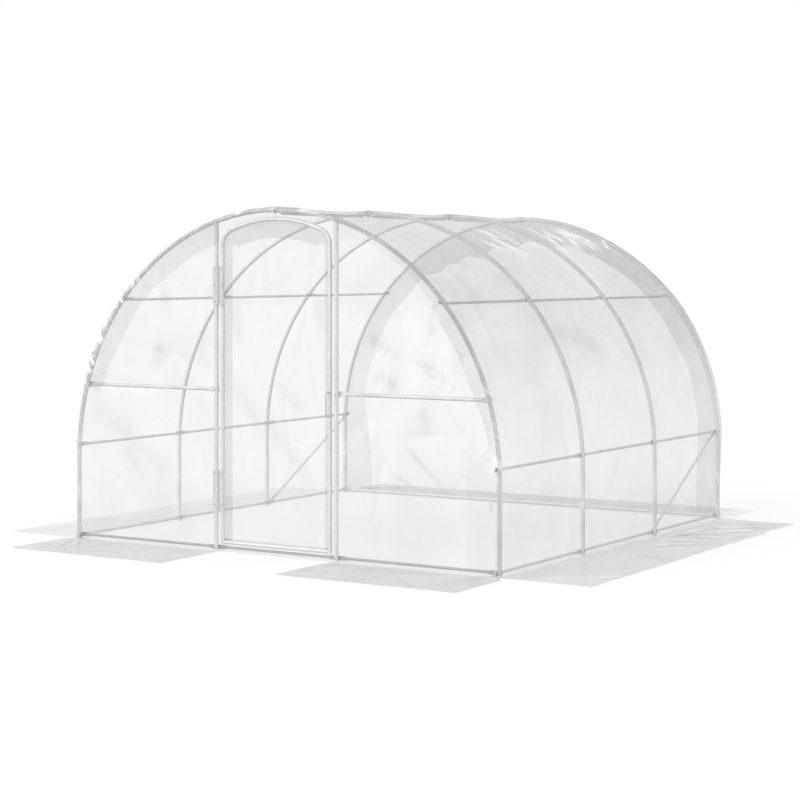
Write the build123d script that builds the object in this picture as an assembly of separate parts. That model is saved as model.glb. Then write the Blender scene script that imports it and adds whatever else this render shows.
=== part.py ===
"""Walk-in tunnel greenhouse: a bolted tube frame of round hoops under a clear film, with one hinged door.

X is across, Y runs along the tunnel with the door at the low end, Z is up from the ground. Millimetres.
"""
from build123d import *
from math import asin, atan2, cos, degrees, pi, radians, sin, sqrt
import os

# Overall form
tunnel_width = 3000.0
tunnel_length = 2980.0
leg_height = 518.0
bay_count = 3

# Tubes
hoop_tube = 25.0
rail_tube = 16.0
end_rail_tube = 22.0
post_tube = 25.0
door_tube = 25.0
door_rail_tube = 22.0
tube_wall = 1.2

# Flattened tube ends, measured along the tube from the bolt. A thicker rail gets longer ends, and a brace's end is
# nearly round and stays within the hoop that carries it.
tab_overhang = 2.0 * rail_tube
tab_reach = 3.0 * rail_tube
brace_tab_reach = 4.0 * rail_tube
brace_tab_overhang = hoop_tube / 2 - 0.5
end_rail_tab_overhang = 9.0
tab_flare = 1.5 * rail_tube
tab_corner = rail_tube / 2
brace_tab_corner = 0.72 * rail_tube
fold_rounding = 0.9
seat_gap = 0.3

# Rails along the tunnel
base_rail_height = 22.0
mid_rail_height = 580.0
upper_rail_angle = 40.7

# Front end
end_rail_height = 952.0
post_spacing = 852.0

# Door frame
post_to_stile_gap = 19.0
sill_to_door_gap = 12.5
hoop_to_door_gap = 28.5
door_shoulder_radius = 100.0
door_crown_radius = 850.0
door_cover_inset = 3.0

# Hinges
hinge_height = 230.0
hinge_lower_height = 250.0
hinge_upper_height = 1450.0
hinge_leaf_width = 38.0
hinge_leaf_thickness = 2.0
hinge_pin = 5.0
hinge_pin_clearance = 0.05
hinge_knuckle = 10.0
hinge_knuckle_count = 5
hinge_knuckle_gap = 0.6
hinge_pin_head = 8.0
hinge_pin_head_height = 2.5

# Pull handle
handle_height = 143.0
handle_base = 825.0
handle_rod = 8.0
handle_reach = 30.0
handle_bend = 12.0

# Film, modelled thicker than the real sheet
film_thickness = 1.5
ground_film_thickness = 2.0
ground_film_width = 550.0
front_flap_past_hoop = 42.0
front_flap_to_door = 22.0
slit_clearance = 1.5

# Values that follow from the sizes above
hoop_radius = tunnel_width / 2 - hoop_tube / 2
hoop_inside = hoop_radius - hoop_tube / 2
hoop_outside = tunnel_width / 2
end_y = tunnel_length / 2 - hoop_tube / 2
bay = 2 * end_y / bay_count
hoop_places = [-end_y + index * bay for index in range(bay_count + 1)]
tab_thickness = 2 * tube_wall
front_seat_y = -end_y + hoop_tube / 2
front_face_y = -tunnel_length / 2
post_x = post_spacing / 2
stile_x = post_x - post_tube / 2 - post_to_stile_gap - door_tube / 2
crown_z = leg_height + hoop_radius
door_bottom_z = base_rail_height + rail_tube / 2 + sill_to_door_gap + door_tube / 2
door_crown_z = crown_z - hoop_tube / 2 - hoop_to_door_gap - door_tube / 2
cover_inside = hoop_outside + seat_gap
cover_outside = cover_inside + film_thickness
film_back_y = front_face_y - seat_gap
film_front_y = film_back_y - film_thickness
hinge_x = -(post_x - post_tube / 2 - post_to_stile_gap / 2)
leaf_back_y = film_front_y - seat_gap
leaf_front_y = leaf_back_y - hinge_leaf_thickness
hinge_y = leaf_back_y - hinge_knuckle / 2


def save(name, shapes):
    """Writes one named piece, made of one or more solids."""
    solids = []
    for shape in shapes:
        solids += shape.solids()
    whole = solids[0] if len(solids) == 1 else Compound(children=solids)
    export_step(whole, f"parts/{name}.step")


def box_between(low, high):
    """A box from its lowest corner to its highest."""
    size = [top - bottom for bottom, top in zip(low, high)]
    middle = [(top + bottom) / 2 for bottom, top in zip(low, high)]
    return Pos(*middle) * Box(*size)


def hoop_seat(height):
    """Where a rail at this height meets the inside of the right-hand hoop line, and the slope of the seat."""
    rise = max(height - leg_height, 0)
    angle = asin(rise / hoop_inside)
    return hoop_inside * cos(angle), leg_height + rise if rise else height, degrees(angle)


def tab_width(diameter):
    """A flattened tube is as wide as half its own girth."""
    return pi * (diameter - tube_wall) / 2 + tube_wall


def tab_low(level):
    """How far a tab's near face lies from its seat when it is stacked on others."""
    return seat_gap + level * (tab_thickness + seat_gap)


def round_section(diameter, along, out):
    """A circle in four arcs, square to the tube, with its centre a set distance out from the seat."""
    corners = [45, 135, 225, 315]
    radius = diameter / 2
    points = [(radius * cos(radians(a)), radius * sin(radians(a))) for a in corners]
    tops = [(radius * cos(radians(a + 45)), radius * sin(radians(a + 45))) for a in corners]
    arcs = [ThreePointArc(points[i], tops[i], points[(i + 1) % 4]) for i in range(4)]
    plane = Plane(origin=(along, 0, out), x_dir=(0, 1, 0), z_dir=(1, 0, 0))
    return plane * make_face(arcs)


def flat_section(diameter, along, out):
    """The flattened tube's section, with corners that answer the four arcs of the round one."""
    half_width = tab_width(diameter) / 2
    half_thickness = tab_thickness / 2
    points = [
        (half_width, half_thickness),
        (-half_width, half_thickness),
        (-half_width, -half_thickness),
        (half_width, -half_thickness),
    ]
    sides = [Line(points[i], points[(i + 1) % 4]) for i in range(4)]
    plane = Plane(origin=(along, 0, out), x_dir=(0, 1, 0), z_dir=(1, 0, 0))
    return plane * make_face(sides)


def tube_flare(diameter, reach, middle):
    """The stretch where a flattened end opens out to the round tube."""
    flat = flat_section(diameter, reach, middle)
    full = round_section(diameter, reach + tab_flare, seat_gap + diameter / 2)
    return loft([flat, full], ruled=True)


def flat_end(diameter, level, reach=tab_reach, overhang=tab_overhang, corner=tab_corner):
    """A tube end at the bolt: a flat tab that overhangs the bolt and flares back to the round tube."""
    middle = tab_low(level) + tab_thickness / 2
    tab = Pos((reach - overhang) / 2, 0, middle) * Box(reach + overhang, tab_width(diameter), tab_thickness)
    tab = fillet(tab.edges().filter_by(Axis.Z).group_by(Axis.X)[0], corner)
    return tab + tube_flare(diameter, reach, middle)


def folded_end(diameter, level):
    """A tube end beside a leg: flattened, then folded back across the leg's inner face."""
    near = tab_low(level)
    low = tab_low(0)
    high = low + tab_thickness
    half_width = tab_width(diameter) / 2
    fold_length = hoop_tube - 2 * seat_gap
    tab = box_between((near, -half_width, low), (tab_reach, half_width, high))
    fold = box_between((near, -half_width, -fold_length), (near + tab_thickness, half_width, high))
    folded = tab + fold
    bend = folded.edges().filter_by(Axis.Y).sort_by_distance((near, 0, high))[0]
    return fillet(bend, tab_thickness * fold_rounding) + tube_flare(diameter, tab_reach, (low + high) / 2)


def tube_between(start, end, out, diameter, start_end, end_end, reach=tab_reach):
    """A tube from bolt to bolt with its two ends in place. out points from the seat into the tunnel."""
    along = (Vector(*end) - Vector(*start)).normalized()
    length = (Vector(*end) - Vector(*start)).length
    inward = Vector(*out)
    inward = (inward - along * along.dot(inward)).normalized()
    first_x = reach + tab_flare
    last_x = length - reach - tab_flare
    body = Pos((first_x + last_x) / 2, 0, seat_gap + diameter / 2) * Rot(0, 90, 0) * Cylinder(
        diameter / 2, last_x - first_x
    )
    far_end = Pos(length, 0, 0) * mirror(end_end, about=Plane.YZ)
    tube = body + start_end + far_end
    place = Plane(origin=start, x_dir=tuple(along), z_dir=tuple(inward))
    return place.location * tube


def flat_tube(start, end, out, diameter, start_level, end_level):
    """A tube from bolt to bolt with both ends flattened."""
    start_tab = flat_end(diameter, start_level)
    end_tab = flat_end(diameter, end_level)
    return tube_between(start, end, out, diameter, start_tab, end_tab)


def hoop(y):
    """One hoop: a half circle on two straight legs."""
    left = (-hoop_radius, y, 0)
    left_spring = (-hoop_radius, y, leg_height)
    crown = (0, y, crown_z)
    right_spring = (hoop_radius, y, leg_height)
    right = (hoop_radius, y, 0)
    path = Line(left, left_spring)
    path += ThreePointArc(left_spring, crown, right_spring)
    path += Line(right_spring, right)
    section = Pos(*left) * Circle(hoop_tube / 2)
    return sweep(section, path=path)


def long_rail(seat_x, seat_z, inward):
    """The three lengths of a rail along the tunnel, lapped at each inner hoop."""
    lengths = []
    for index in range(bay_count):
        start = (seat_x, hoop_places[index], seat_z)
        end = (seat_x, hoop_places[index + 1], seat_z)
        start_level = 0 if index == 0 else 1
        lengths.append(flat_tube(start, end, inward, rail_tube, start_level, 0))
    return lengths


def side_rail(side, height):
    """A long rail on one side at a given height."""
    seat_x, seat_z, slope = hoop_seat(height)
    inward = (-side * cos(radians(slope)), 0, -sin(radians(slope)))
    return long_rail(side * seat_x, seat_z, inward)


def upper_rail(side):
    """A long rail high on one side, placed by its angle above the middle of the half circle."""
    return side_rail(side, leg_height + hoop_inside * sin(radians(upper_rail_angle)))


def brace(side):
    """A diagonal in the back bay, from the foot of one hoop to the mid rail on the next."""
    foot_x = hoop_seat(base_rail_height)[0]
    head_x, head_z, slope = hoop_seat(mid_rail_height)
    tilt_clearance = sin(radians(slope)) * tab_width(rail_tube)
    start = (side * foot_x, hoop_places[-2], base_rail_height)
    end = (side * (head_x - tilt_clearance), hoop_places[-1], head_z)
    foot = flat_end(rail_tube, 2, brace_tab_reach, brace_tab_overhang, brace_tab_corner)
    head = flat_end(rail_tube, 1, brace_tab_reach, brace_tab_overhang, brace_tab_corner)
    return tube_between(start, end, (-side, 0, 0), rail_tube, foot, head, brace_tab_reach)


def front_base_rail(side):
    """The bar on the ground from a door post to the hoop leg, folded across the leg."""
    start = (side * hoop_inside, front_seat_y, base_rail_height)
    end = (side * post_x, front_seat_y, base_rail_height)
    return tube_between(start, end, (0, 1, 0), rail_tube, folded_end(rail_tube, 1), flat_end(rail_tube, 0))


def door_sill():
    """The bar on the ground between the door posts, lapped over both base rails."""
    start = (-post_x, front_seat_y, base_rail_height)
    end = (post_x, front_seat_y, base_rail_height)
    return flat_tube(start, end, (0, 1, 0), rail_tube, 1, 1)


def back_base_rail():
    """The bar on the ground between the legs of the back hoop, folded across both legs."""
    start = (-hoop_inside, -front_seat_y, base_rail_height)
    end = (hoop_inside, -front_seat_y, base_rail_height)
    fold = folded_end(rail_tube, 1)
    return tube_between(start, end, (0, -1, 0), rail_tube, fold, fold)


def end_rail(side):
    """The level rail across the front end, from a door post to the hoop."""
    bolt_x = sqrt(hoop_radius**2 - max(end_rail_height - leg_height, 0) ** 2)
    start = (side * post_x, front_seat_y, end_rail_height)
    end = (side * bolt_x, front_seat_y, end_rail_height)
    tab = flat_end(end_rail_tube, 0, overhang=end_rail_tab_overhang)
    return tube_between(start, end, (0, 1, 0), end_rail_tube, tab, tab)


def door_post(side):
    """A post from the ground to the front hoop, with its top cut to the hoop's curve."""
    post = Pos(side * post_x, -end_y, crown_z / 2) * Cylinder(post_tube / 2, crown_z)
    spring = (-hoop_radius, -end_y, leg_height)
    cutter_path = ThreePointArc(spring, (0, -end_y, crown_z), (hoop_radius, -end_y, leg_height))
    section = Pos(*spring) * Circle(hoop_tube / 2 + seat_gap)
    cut = post - sweep(section, path=cutter_path)
    return cut.solids().sort_by(Axis.Z)[0]


def arc_strip(low_angle, high_angle, side):
    """A strip of the roof film between two angles above the middle of the half circle."""
    gap_angle = degrees(seat_gap / cover_outside) / 2
    start = low_angle + gap_angle
    stop = high_angle - gap_angle

    def rim(radius, angle):
        return (side * radius * cos(radians(angle)), leg_height + radius * sin(radians(angle)))

    middle = (start + stop) / 2
    inner = ThreePointArc(rim(cover_inside, start), rim(cover_inside, middle), rim(cover_inside, stop))
    outer = ThreePointArc(rim(cover_outside, stop), rim(cover_outside, middle), rim(cover_outside, start))
    sides = [
        inner,
        Line(rim(cover_inside, stop), rim(cover_outside, stop)),
        outer,
        Line(rim(cover_outside, start), rim(cover_inside, start)),
    ]
    plane = Plane(origin=(0, -front_face_y, 0), x_dir=(1, 0, 0), z_dir=(0, -1, 0))
    return extrude(plane * make_face(sides), tunnel_length)


def wall_strip(side):
    """The upright film beside the hoop legs."""
    low_x, high_x = sorted((side * cover_inside, side * cover_outside))
    return box_between(
        (low_x, front_face_y, ground_film_thickness + seat_gap),
        (high_x, -front_face_y, leg_height - seat_gap / 2),
    )


def end_profile():
    """The whole outline of an end: legs and half circle, out to the outside of the roof film."""
    bottom = ground_film_thickness + seat_gap
    left_foot = (-cover_outside, bottom)
    left_spring = (-cover_outside, leg_height)
    crown = (0, leg_height + cover_outside)
    right_spring = (cover_outside, leg_height)
    right_foot = (cover_outside, bottom)
    sides = [
        Line(left_foot, left_spring),
        ThreePointArc(left_spring, crown, right_spring),
        Line(right_spring, right_foot),
        Line(right_foot, left_foot),
    ]
    return make_face(sides)


def rail_slits(y_low, y_high):
    """Slots that let the overhanging rail tabs through the film at an end."""
    slits = []
    height = tab_width(rail_tube) + 2 * slit_clearance
    depth = tab_thickness + 2 * slit_clearance
    upper_z = leg_height + hoop_inside * sin(radians(upper_rail_angle))
    for level in (base_rail_height, mid_rail_height, upper_z, leg_height + hoop_inside):
        seat_x, seat_z, slope = hoop_seat(min(level, leg_height + hoop_inside))
        for side in (-1, 1):
            inward_x = -side * cos(radians(slope)) * (seat_gap + tab_thickness / 2)
            inward_z = -sin(radians(slope)) * (seat_gap + tab_thickness / 2)
            place = Pos(side * seat_x + inward_x, (y_low + y_high) / 2, seat_z + inward_z)
            slits.append(place * Rot(0, -side * slope, 0) * Box(depth, 2 * (y_high - y_low), height))
    return slits


def front_cover(side):
    """The film on one side of the door, from the post out to the roof film."""
    plane = Plane(origin=(0, film_back_y, 0), x_dir=(1, 0, 0), z_dir=(0, -1, 0))
    whole = extrude(plane * end_profile(), film_thickness)
    inner_edge = post_x - post_tube / 2
    keep_x = sorted((side * inner_edge, side * 2 * cover_outside))
    keep = box_between((keep_x[0], 2 * film_front_y, 0), (keep_x[1], 0, 2 * crown_z))
    sheet = whole & keep
    return sheet - rail_slits(film_front_y, film_back_y)


def back_cover():
    """The film over the whole back end."""
    plane = Plane(origin=(0, -film_back_y, 0), x_dir=(-1, 0, 0), z_dir=(0, 1, 0))
    sheet = extrude(plane * end_profile(), film_thickness)
    return sheet - rail_slits(-film_back_y, -film_front_y)


def side_skirt(side):
    """The film edge that lies on the ground along one side."""
    low_x, high_x = sorted((side * cover_inside, side * (hoop_outside + ground_film_width)))
    return box_between((low_x, front_face_y, 0), (high_x, -front_face_y, ground_film_thickness))


def back_skirt():
    """The film edge that lies on the ground behind."""
    half_width = hoop_outside + front_flap_past_hoop
    return box_between(
        (-half_width, -film_back_y, 0),
        (half_width, -front_face_y + ground_film_width, ground_film_thickness),
    )


def front_skirt(side):
    """The film edge that lies on the ground on one side of the doorway."""
    inner_edge = post_x - post_tube / 2 - front_flap_to_door
    low_x, high_x = sorted((side * inner_edge, side * (hoop_outside + front_flap_past_hoop)))
    low_y = front_face_y - ground_film_width
    return box_between((low_x, low_y, 0), (high_x, film_back_y, ground_film_thickness))


def door_outline(inset):
    """The door's arched line, from its left foot over the head to its right foot, moved in by an inset."""
    half = stile_x - inset
    shoulder = door_shoulder_radius - inset
    crown = door_crown_radius - inset
    crown_centre_z = door_crown_z - door_crown_radius
    across = half - shoulder
    shoulder_z = crown_centre_z + sqrt((crown - shoulder) ** 2 - across**2)
    lean = atan2(shoulder_z - crown_centre_z, across)
    turn = (crown * cos(lean), crown_centre_z + crown * sin(lean))
    middle_angle = lean / 2
    knee = (across + shoulder * cos(middle_angle), shoulder_z + shoulder * sin(middle_angle))
    return half, shoulder_z, knee, turn, crown_centre_z + crown


def door_head_path(inset, foot_z, y):
    """The stiles and arched head as one line at a given Y."""
    half, shoulder_z, knee, turn, top = door_outline(inset)
    left_turn = (-turn[0], y, turn[1])
    right_turn = (turn[0], y, turn[1])
    path = Line((-half, y, foot_z), (-half, y, shoulder_z))
    path += ThreePointArc((-half, y, shoulder_z), (-knee[0], y, knee[1]), left_turn)
    path += ThreePointArc(left_turn, (0, y, top), right_turn)
    path += ThreePointArc(right_turn, (knee[0], y, knee[1]), (half, y, shoulder_z))
    path += Line((half, y, shoulder_z), (half, y, foot_z))
    return path


def door_frame():
    """The bent door tube with its bottom rail welded in."""
    foot_z = door_bottom_z - door_tube / 2
    path = door_head_path(0, foot_z, -end_y)
    bent = sweep(Pos(-stile_x, -end_y, foot_z) * Circle(door_tube / 2), path=path)
    bottom = Pos(0, -end_y, door_bottom_z) * Rot(0, 90, 0) * Cylinder(door_rail_tube / 2, 2 * stile_x)
    return bent + bottom


def door_cover():
    """The film stretched over the front of the door frame."""
    inset = door_cover_inset - door_tube / 2
    foot_z = door_bottom_z - door_tube / 2 + door_cover_inset
    half = door_outline(inset)[0]
    path = door_head_path(inset, foot_z, film_back_y)
    closed = path.edges() + [Line((half, film_back_y, foot_z), (-half, film_back_y, foot_z))]
    return extrude(make_face(closed), film_thickness, dir=(0, -1, 0))


def hinge_leaf(base_z, side, own_rows):
    """One leaf of a hinge with the knuckles of its own rows. side is -1 at the post and 1 at the door."""
    row_height = hinge_height / hinge_knuckle_count
    low_x, high_x = sorted((hinge_x, hinge_x + side * hinge_leaf_width))
    leaf = box_between((low_x, leaf_front_y, base_z), (high_x, leaf_back_y, base_z + hinge_height))
    barrel = Pos(hinge_x, hinge_y, base_z + hinge_height / 2) * Cylinder(hinge_knuckle / 2, hinge_height)
    whole = leaf + barrel
    room = hinge_knuckle + 2 * hinge_knuckle_gap
    for row in range(hinge_knuckle_count):
        if row in own_rows:
            continue
        row_middle = base_z + (row + 0.5) * row_height
        whole -= Pos(hinge_x, hinge_y, row_middle) * Box(room, room, row_height + hinge_knuckle_gap)
    bore = hinge_pin / 2 + hinge_pin_clearance
    return whole - Pos(hinge_x, hinge_y, base_z + hinge_height / 2) * Cylinder(bore, 2 * hinge_height)


def hinge_rod(base_z):
    """A hinge pin with a flat head at the top."""
    pin = Pos(hinge_x, hinge_y, base_z + hinge_height / 2) * Cylinder(hinge_pin / 2, hinge_height)
    head_z = base_z + hinge_height + hinge_pin_clearance + hinge_pin_head_height / 2
    neck = Pos(hinge_x, hinge_y, base_z + hinge_height + hinge_pin_clearance / 2) * Cylinder(
        hinge_pin / 2, hinge_pin_clearance
    )
    head = Pos(hinge_x, hinge_y, head_z) * Cylinder(hinge_pin_head / 2, hinge_pin_head_height)
    return pin + neck + head


def door_handle():
    """A round bar bent to a U and screwed to the front of the free stile."""
    seat_y = film_front_y - seat_gap
    grip_y = seat_y - handle_reach + handle_rod / 2
    low_z = handle_base + handle_rod / 2
    high_z = handle_base + handle_height - handle_rod / 2
    foot = (stile_x, seat_y, low_z)
    low_grip = (stile_x, grip_y, low_z)
    high_grip = (stile_x, grip_y, high_z)
    head = (stile_x, seat_y, high_z)
    path = FilletPolyline(foot, low_grip, high_grip, head, radius=handle_bend)
    section = Plane(origin=foot, z_dir=(0, -1, 0)) * Circle(handle_rod / 2)
    return sweep(section, path=path)


os.makedirs("parts", exist_ok=True)

for number, place in enumerate(hoop_places, start=1):
    save(f"hoop_{number}", [hoop(place)])

for name, side in (("left", -1), ("right", 1)):
    save(f"base_rail_{name}", side_rail(side, base_rail_height))
    save(f"mid_rail_{name}", side_rail(side, mid_rail_height))
    save(f"upper_rail_{name}", upper_rail(side))
    save(f"brace_{name}", [brace(side)])
    save(f"front_base_rail_{name}", [front_base_rail(side)])
    save(f"end_rail_{name}", [end_rail(side)])
    save(f"door_post_{name}", [door_post(side)])
    save(f"wall_film_{name}", [wall_strip(side)])
    save(f"lower_roof_film_{name}", [arc_strip(0, upper_rail_angle, side)])
    save(f"upper_roof_film_{name}", [arc_strip(upper_rail_angle, 90, side)])
    save(f"front_film_{name}", [front_cover(side)])
    save(f"ground_film_{name}", [side_skirt(side)])
    save(f"front_ground_film_{name}", [front_skirt(side)])

save("ridge_rail", long_rail(0, leg_height + hoop_inside, (0, 0, -1)))
save("back_base_rail", [back_base_rail()])
save("door_sill", [door_sill()])
save("back_film", [back_cover()])
save("back_ground_film", [back_skirt()])

save("door_frame", [door_frame()])
save("door_film", [door_cover()])
save("door_handle", [door_handle()])
hinge_bases = (hinge_lower_height, hinge_upper_height)
save("hinge_leaves_post", [hinge_leaf(base, -1, (0, 2, 4)) for base in hinge_bases])
save("hinge_leaves_door", [hinge_leaf(base, 1, (1, 3)) for base in hinge_bases])
save("hinge_pins", [hinge_rod(base) for base in hinge_bases])
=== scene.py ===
"""Looks of a walk-in tunnel greenhouse: galvanised hoops, clear film and one hinged door, on a pale floor."""
import logging
import math
from dataclasses import dataclass
from enum import Enum
from typing import Callable

import bmesh
import bpy
import numpy as np
from mathutils import Matrix, Vector


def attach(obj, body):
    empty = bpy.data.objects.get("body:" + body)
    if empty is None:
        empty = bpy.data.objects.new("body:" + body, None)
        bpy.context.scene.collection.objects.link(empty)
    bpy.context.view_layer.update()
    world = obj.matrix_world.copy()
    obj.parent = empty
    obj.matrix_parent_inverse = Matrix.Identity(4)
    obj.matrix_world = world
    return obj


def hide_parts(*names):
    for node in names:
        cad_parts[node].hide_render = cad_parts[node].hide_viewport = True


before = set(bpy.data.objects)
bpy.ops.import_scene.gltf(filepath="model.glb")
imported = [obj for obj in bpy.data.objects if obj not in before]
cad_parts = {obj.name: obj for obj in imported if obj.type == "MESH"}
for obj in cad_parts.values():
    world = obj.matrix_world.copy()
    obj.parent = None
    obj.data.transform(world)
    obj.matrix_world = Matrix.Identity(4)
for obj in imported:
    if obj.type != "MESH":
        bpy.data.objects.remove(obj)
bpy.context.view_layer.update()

REPORT = logging.getLogger("tunnel")

Grid = np.ndarray
Spot = tuple[float, float]
Place = tuple[float, float, float]
Piece = bpy.types.Object
Finish = bpy.types.Material
Node = bpy.types.Node
Socket = bpy.types.NodeSocket

QUARTER = math.pi / 2.0
HOOP_RADIUS = 1.4875
HOOP_TUBE = 0.0125
LEG_HEIGHT = 0.518
END_Y = 1.4775
BAY = 0.985
HOOP_PLACES = (-END_Y, -0.4925, 0.4925, END_Y)
FILM_RADIUS = 1.5014
ARCH = FILM_RADIUS * QUARTER
FOOT_RUN = ARCH + LEG_HEIGHT
END_FILM_Y = 1.4911
SEAT_RADIUS = 1.475
BASE_RAIL_Z = 0.022
MID_RAIL_Z = 0.580
UPPER_ANGLE = math.radians(40.7)
UPPER_RAIL_Z = LEG_HEIGHT + SEAT_RADIUS * math.sin(UPPER_ANGLE)
END_RAIL_Z = 0.952
POST_X = 0.426
STILE_X = 0.382
SKIRT_EDGE_X = 2.049
SKIRT_EDGE_Y = 2.039
GROUND_Z = 0.0014
FOLD_RADIUS = 0.012
SKIRT_LIFT = 0.0004


class Side(Enum):
    """The two sides of the tunnel as seen by someone who faces the door."""

    LEFT = -1
    RIGHT = 1

    @property
    def word(self) -> str:
        """The side's name in piece names."""
        return self.name.lower()


class End(Enum):
    """The two ends of the tunnel along Y."""

    FRONT = -1
    BACK = 1


def smooth_step(low: float, high: float, value: Grid) -> Grid:
    """Rises smoothly from 0 at low to 1 at high, which may be the smaller one."""
    part = np.clip((value - low) / (high - low), 0.0, 1.0)
    return part * part * (3.0 - 2.0 * part)


def hump(value: Grid, centre: float, reach: float, power: int = 2) -> Grid:
    """One at the centre, fading out at the reach; a higher power has a flatter top."""
    return np.exp(-(((value - centre) / reach) ** power))


def graded(*parts: tuple[float, float, int]) -> Grid:
    """Even steps over each stretch, given as its start, its end and how many places it has."""
    return np.concatenate([np.linspace(*part)[:-1] for part in parts] + [[parts[-1][1]]])


def tented(x: Grid, z: Grid) -> Grid:
    """How far the rails' flat ends, which stand out of the end hoops, push an end film out.

    Args:
        x: Place across, for each point.
        z: Height, for each point.

    Returns:
        Distances in metres.
    """
    inner, push, reach = SEAT_RADIUS - 0.0015, 0.013, 0.030
    tabs = [(0.0, LEG_HEIGHT + inner)]
    for height in (BASE_RAIL_Z, MID_RAIL_Z, UPPER_RAIL_Z):
        angle = math.asin(max(height - LEG_HEIGHT, 0.0) / SEAT_RADIUS)
        tabs += [(side.value * (SEAT_RADIUS * math.cos(angle) - 0.0015), height) for side in Side]
    return np.max([push * np.exp(-np.hypot(x - tab_x, z - tab_z) / reach) for tab_x, tab_z in tabs], axis=0)


@dataclass(frozen=True)
class Ripple:
    """Smooth repeatable noise over a plane.

    Args:
        seed: Picks one pattern.
    """

    seed: int

    def at(self, across: Grid, along: Grid) -> Grid:
        """Reads the noise.

        Args:
            across: First coordinate, one unit a wave.
            along: Second coordinate, one unit a wave.

        Returns:
            Numbers from about -0.7 to 0.7.
        """
        source = np.random.RandomState(self.seed)
        order = source.permutation(256)
        turn = source.uniform(0.0, 2.0 * math.pi, 256)
        cell_u, cell_v = np.floor(across).astype(int), np.floor(along).astype(int)
        part_u, part_v = across - cell_u, along - cell_v
        fade_u, fade_v = (part**3 * (part * (part * 6.0 - 15.0) + 10.0) for part in (part_u, part_v))
        corners = []
        for step_u, step_v in ((0, 0), (1, 0), (0, 1), (1, 1)):
            pick = turn[order[(order[(cell_u + step_u) % 256] + cell_v + step_v) % 256]]
            corners.append(np.cos(pick) * (part_u - step_u) + np.sin(pick) * (part_v - step_v))
        low = corners[0] * (1.0 - fade_u) + corners[1] * fade_u
        high = corners[2] * (1.0 - fade_u) + corners[3] * fade_u
        return low * (1.0 - fade_v) + high * fade_v

    def line(self, value: Grid, offset: float) -> Grid:
        """Reads the noise along one line."""
        return self.at(value, value * 0.0 + offset)


@dataclass(frozen=True)
class Fold:
    """One crease in a film, or one painted streak of highlight or shade on it.

    Args:
        start: Where it starts on the cut sheet, in metres.
        end: Where it ends.
        width: Half its width in metres.
        height: How far it stands up in metres, or how strong the painted streak is.
    """

    start: Spot
    end: Spot
    width: float
    height: float

    def read(self, across: Grid, along: Grid) -> tuple[Grid, Grid]:
        """Reads the crease.

        Args:
            across: First coordinate of each point.
            along: Second coordinate of each point.

        Returns:
            Its height, and the shade painted on it, from -1 on one flank to 1 on the other.
        """
        step_u, step_v = self.end[0] - self.start[0], self.end[1] - self.start[1]
        length = math.hypot(step_u, step_v)
        gap_u, gap_v = across - self.start[0], along - self.start[1]
        part = (gap_u * step_u + gap_v * step_v) / length**2
        beside = (gap_u * step_v - gap_v * step_u) / length / self.width
        core = np.exp(-beside**2) * smooth_step(0.0, 0.35, part) * smooth_step(1.0, 0.65, part)
        return self.height * core, 2.33 * beside * core


def folds(*rows: tuple[float, ...]) -> tuple[Fold, ...]:
    """Makes folds of rows that hold the start, the end, the half width and the height."""
    return tuple(Fold(row[0:2], row[2:4], row[4], row[5]) for row in rows)


def strongest(given: tuple[Fold, ...], across: Grid, along: Grid) -> Grid:
    """The height of the highest of some folds at each point."""
    return np.max([fold.read(across, along)[0] for fold in given], axis=0)


@dataclass(frozen=True)
class FoldField:
    """Creases strewn over a part of a sheet, the same ones each run.

    Args:
        seed: Picks one set.
        count: How many.
        low: Lowest corner of the part that their middles are in.
        high: Highest corner.
        length: Shortest and longest, in metres.
        width: Narrowest and widest half width.
        height: Lowest and highest.
        heading: Middle direction in degrees from the first coordinate.
        spread: How far directions stray from it in degrees.
        weight: How strong their painted shade is.
        gleam: How strongly their flanks are painted with a highlight.
    """

    seed: int
    count: int
    low: Spot
    high: Spot
    length: Spot
    width: Spot
    height: Spot
    heading: float
    spread: float
    weight: float
    gleam: float = 0.0

    def folds(self) -> list[Fold]:
        """Draws the creases.

        Returns:
            One fold each.
        """
        source = np.random.RandomState(self.seed)
        found = []
        for _ in range(self.count):
            middle = [source.uniform(low, high) for low, high in zip(self.low, self.high)]
            turn = math.radians(self.heading + source.uniform(-self.spread, self.spread))
            half = source.uniform(*self.length) / 2.0
            step = (half * math.cos(turn), half * math.sin(turn))
            start = (middle[0] - step[0], middle[1] - step[1])
            end = (middle[0] + step[0], middle[1] + step[1])
            found.append(Fold(start, end, source.uniform(*self.width), source.uniform(*self.height)))
        return found


def read_fields(fields: tuple[FoldField, ...], across: Grid, along: Grid) -> tuple[Grid, Grid, Grid]:
    """Reads several sets of creases together.

    Args:
        fields: The sets.
        across: First coordinate of each point.
        along: Second coordinate of each point.

    Returns:
        The highest height in metres, the summed painted shades, and the brightest painted glint.
    """
    height, shade, glint = (np.zeros(across.shape) for _ in range(3))
    for field in fields:
        reads = [fold.read(across, along) for fold in field.folds()]
        flank = np.clip(sum(read[1] for read in reads), -1.0, 1.0)
        height = np.maximum(height, np.max([read[0] for read in reads], axis=0))
        shade = shade + field.weight * flank
        glint = np.maximum(glint, field.gleam * np.clip(flank, 0.0, 1.0))
    return height, shade, glint


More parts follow.
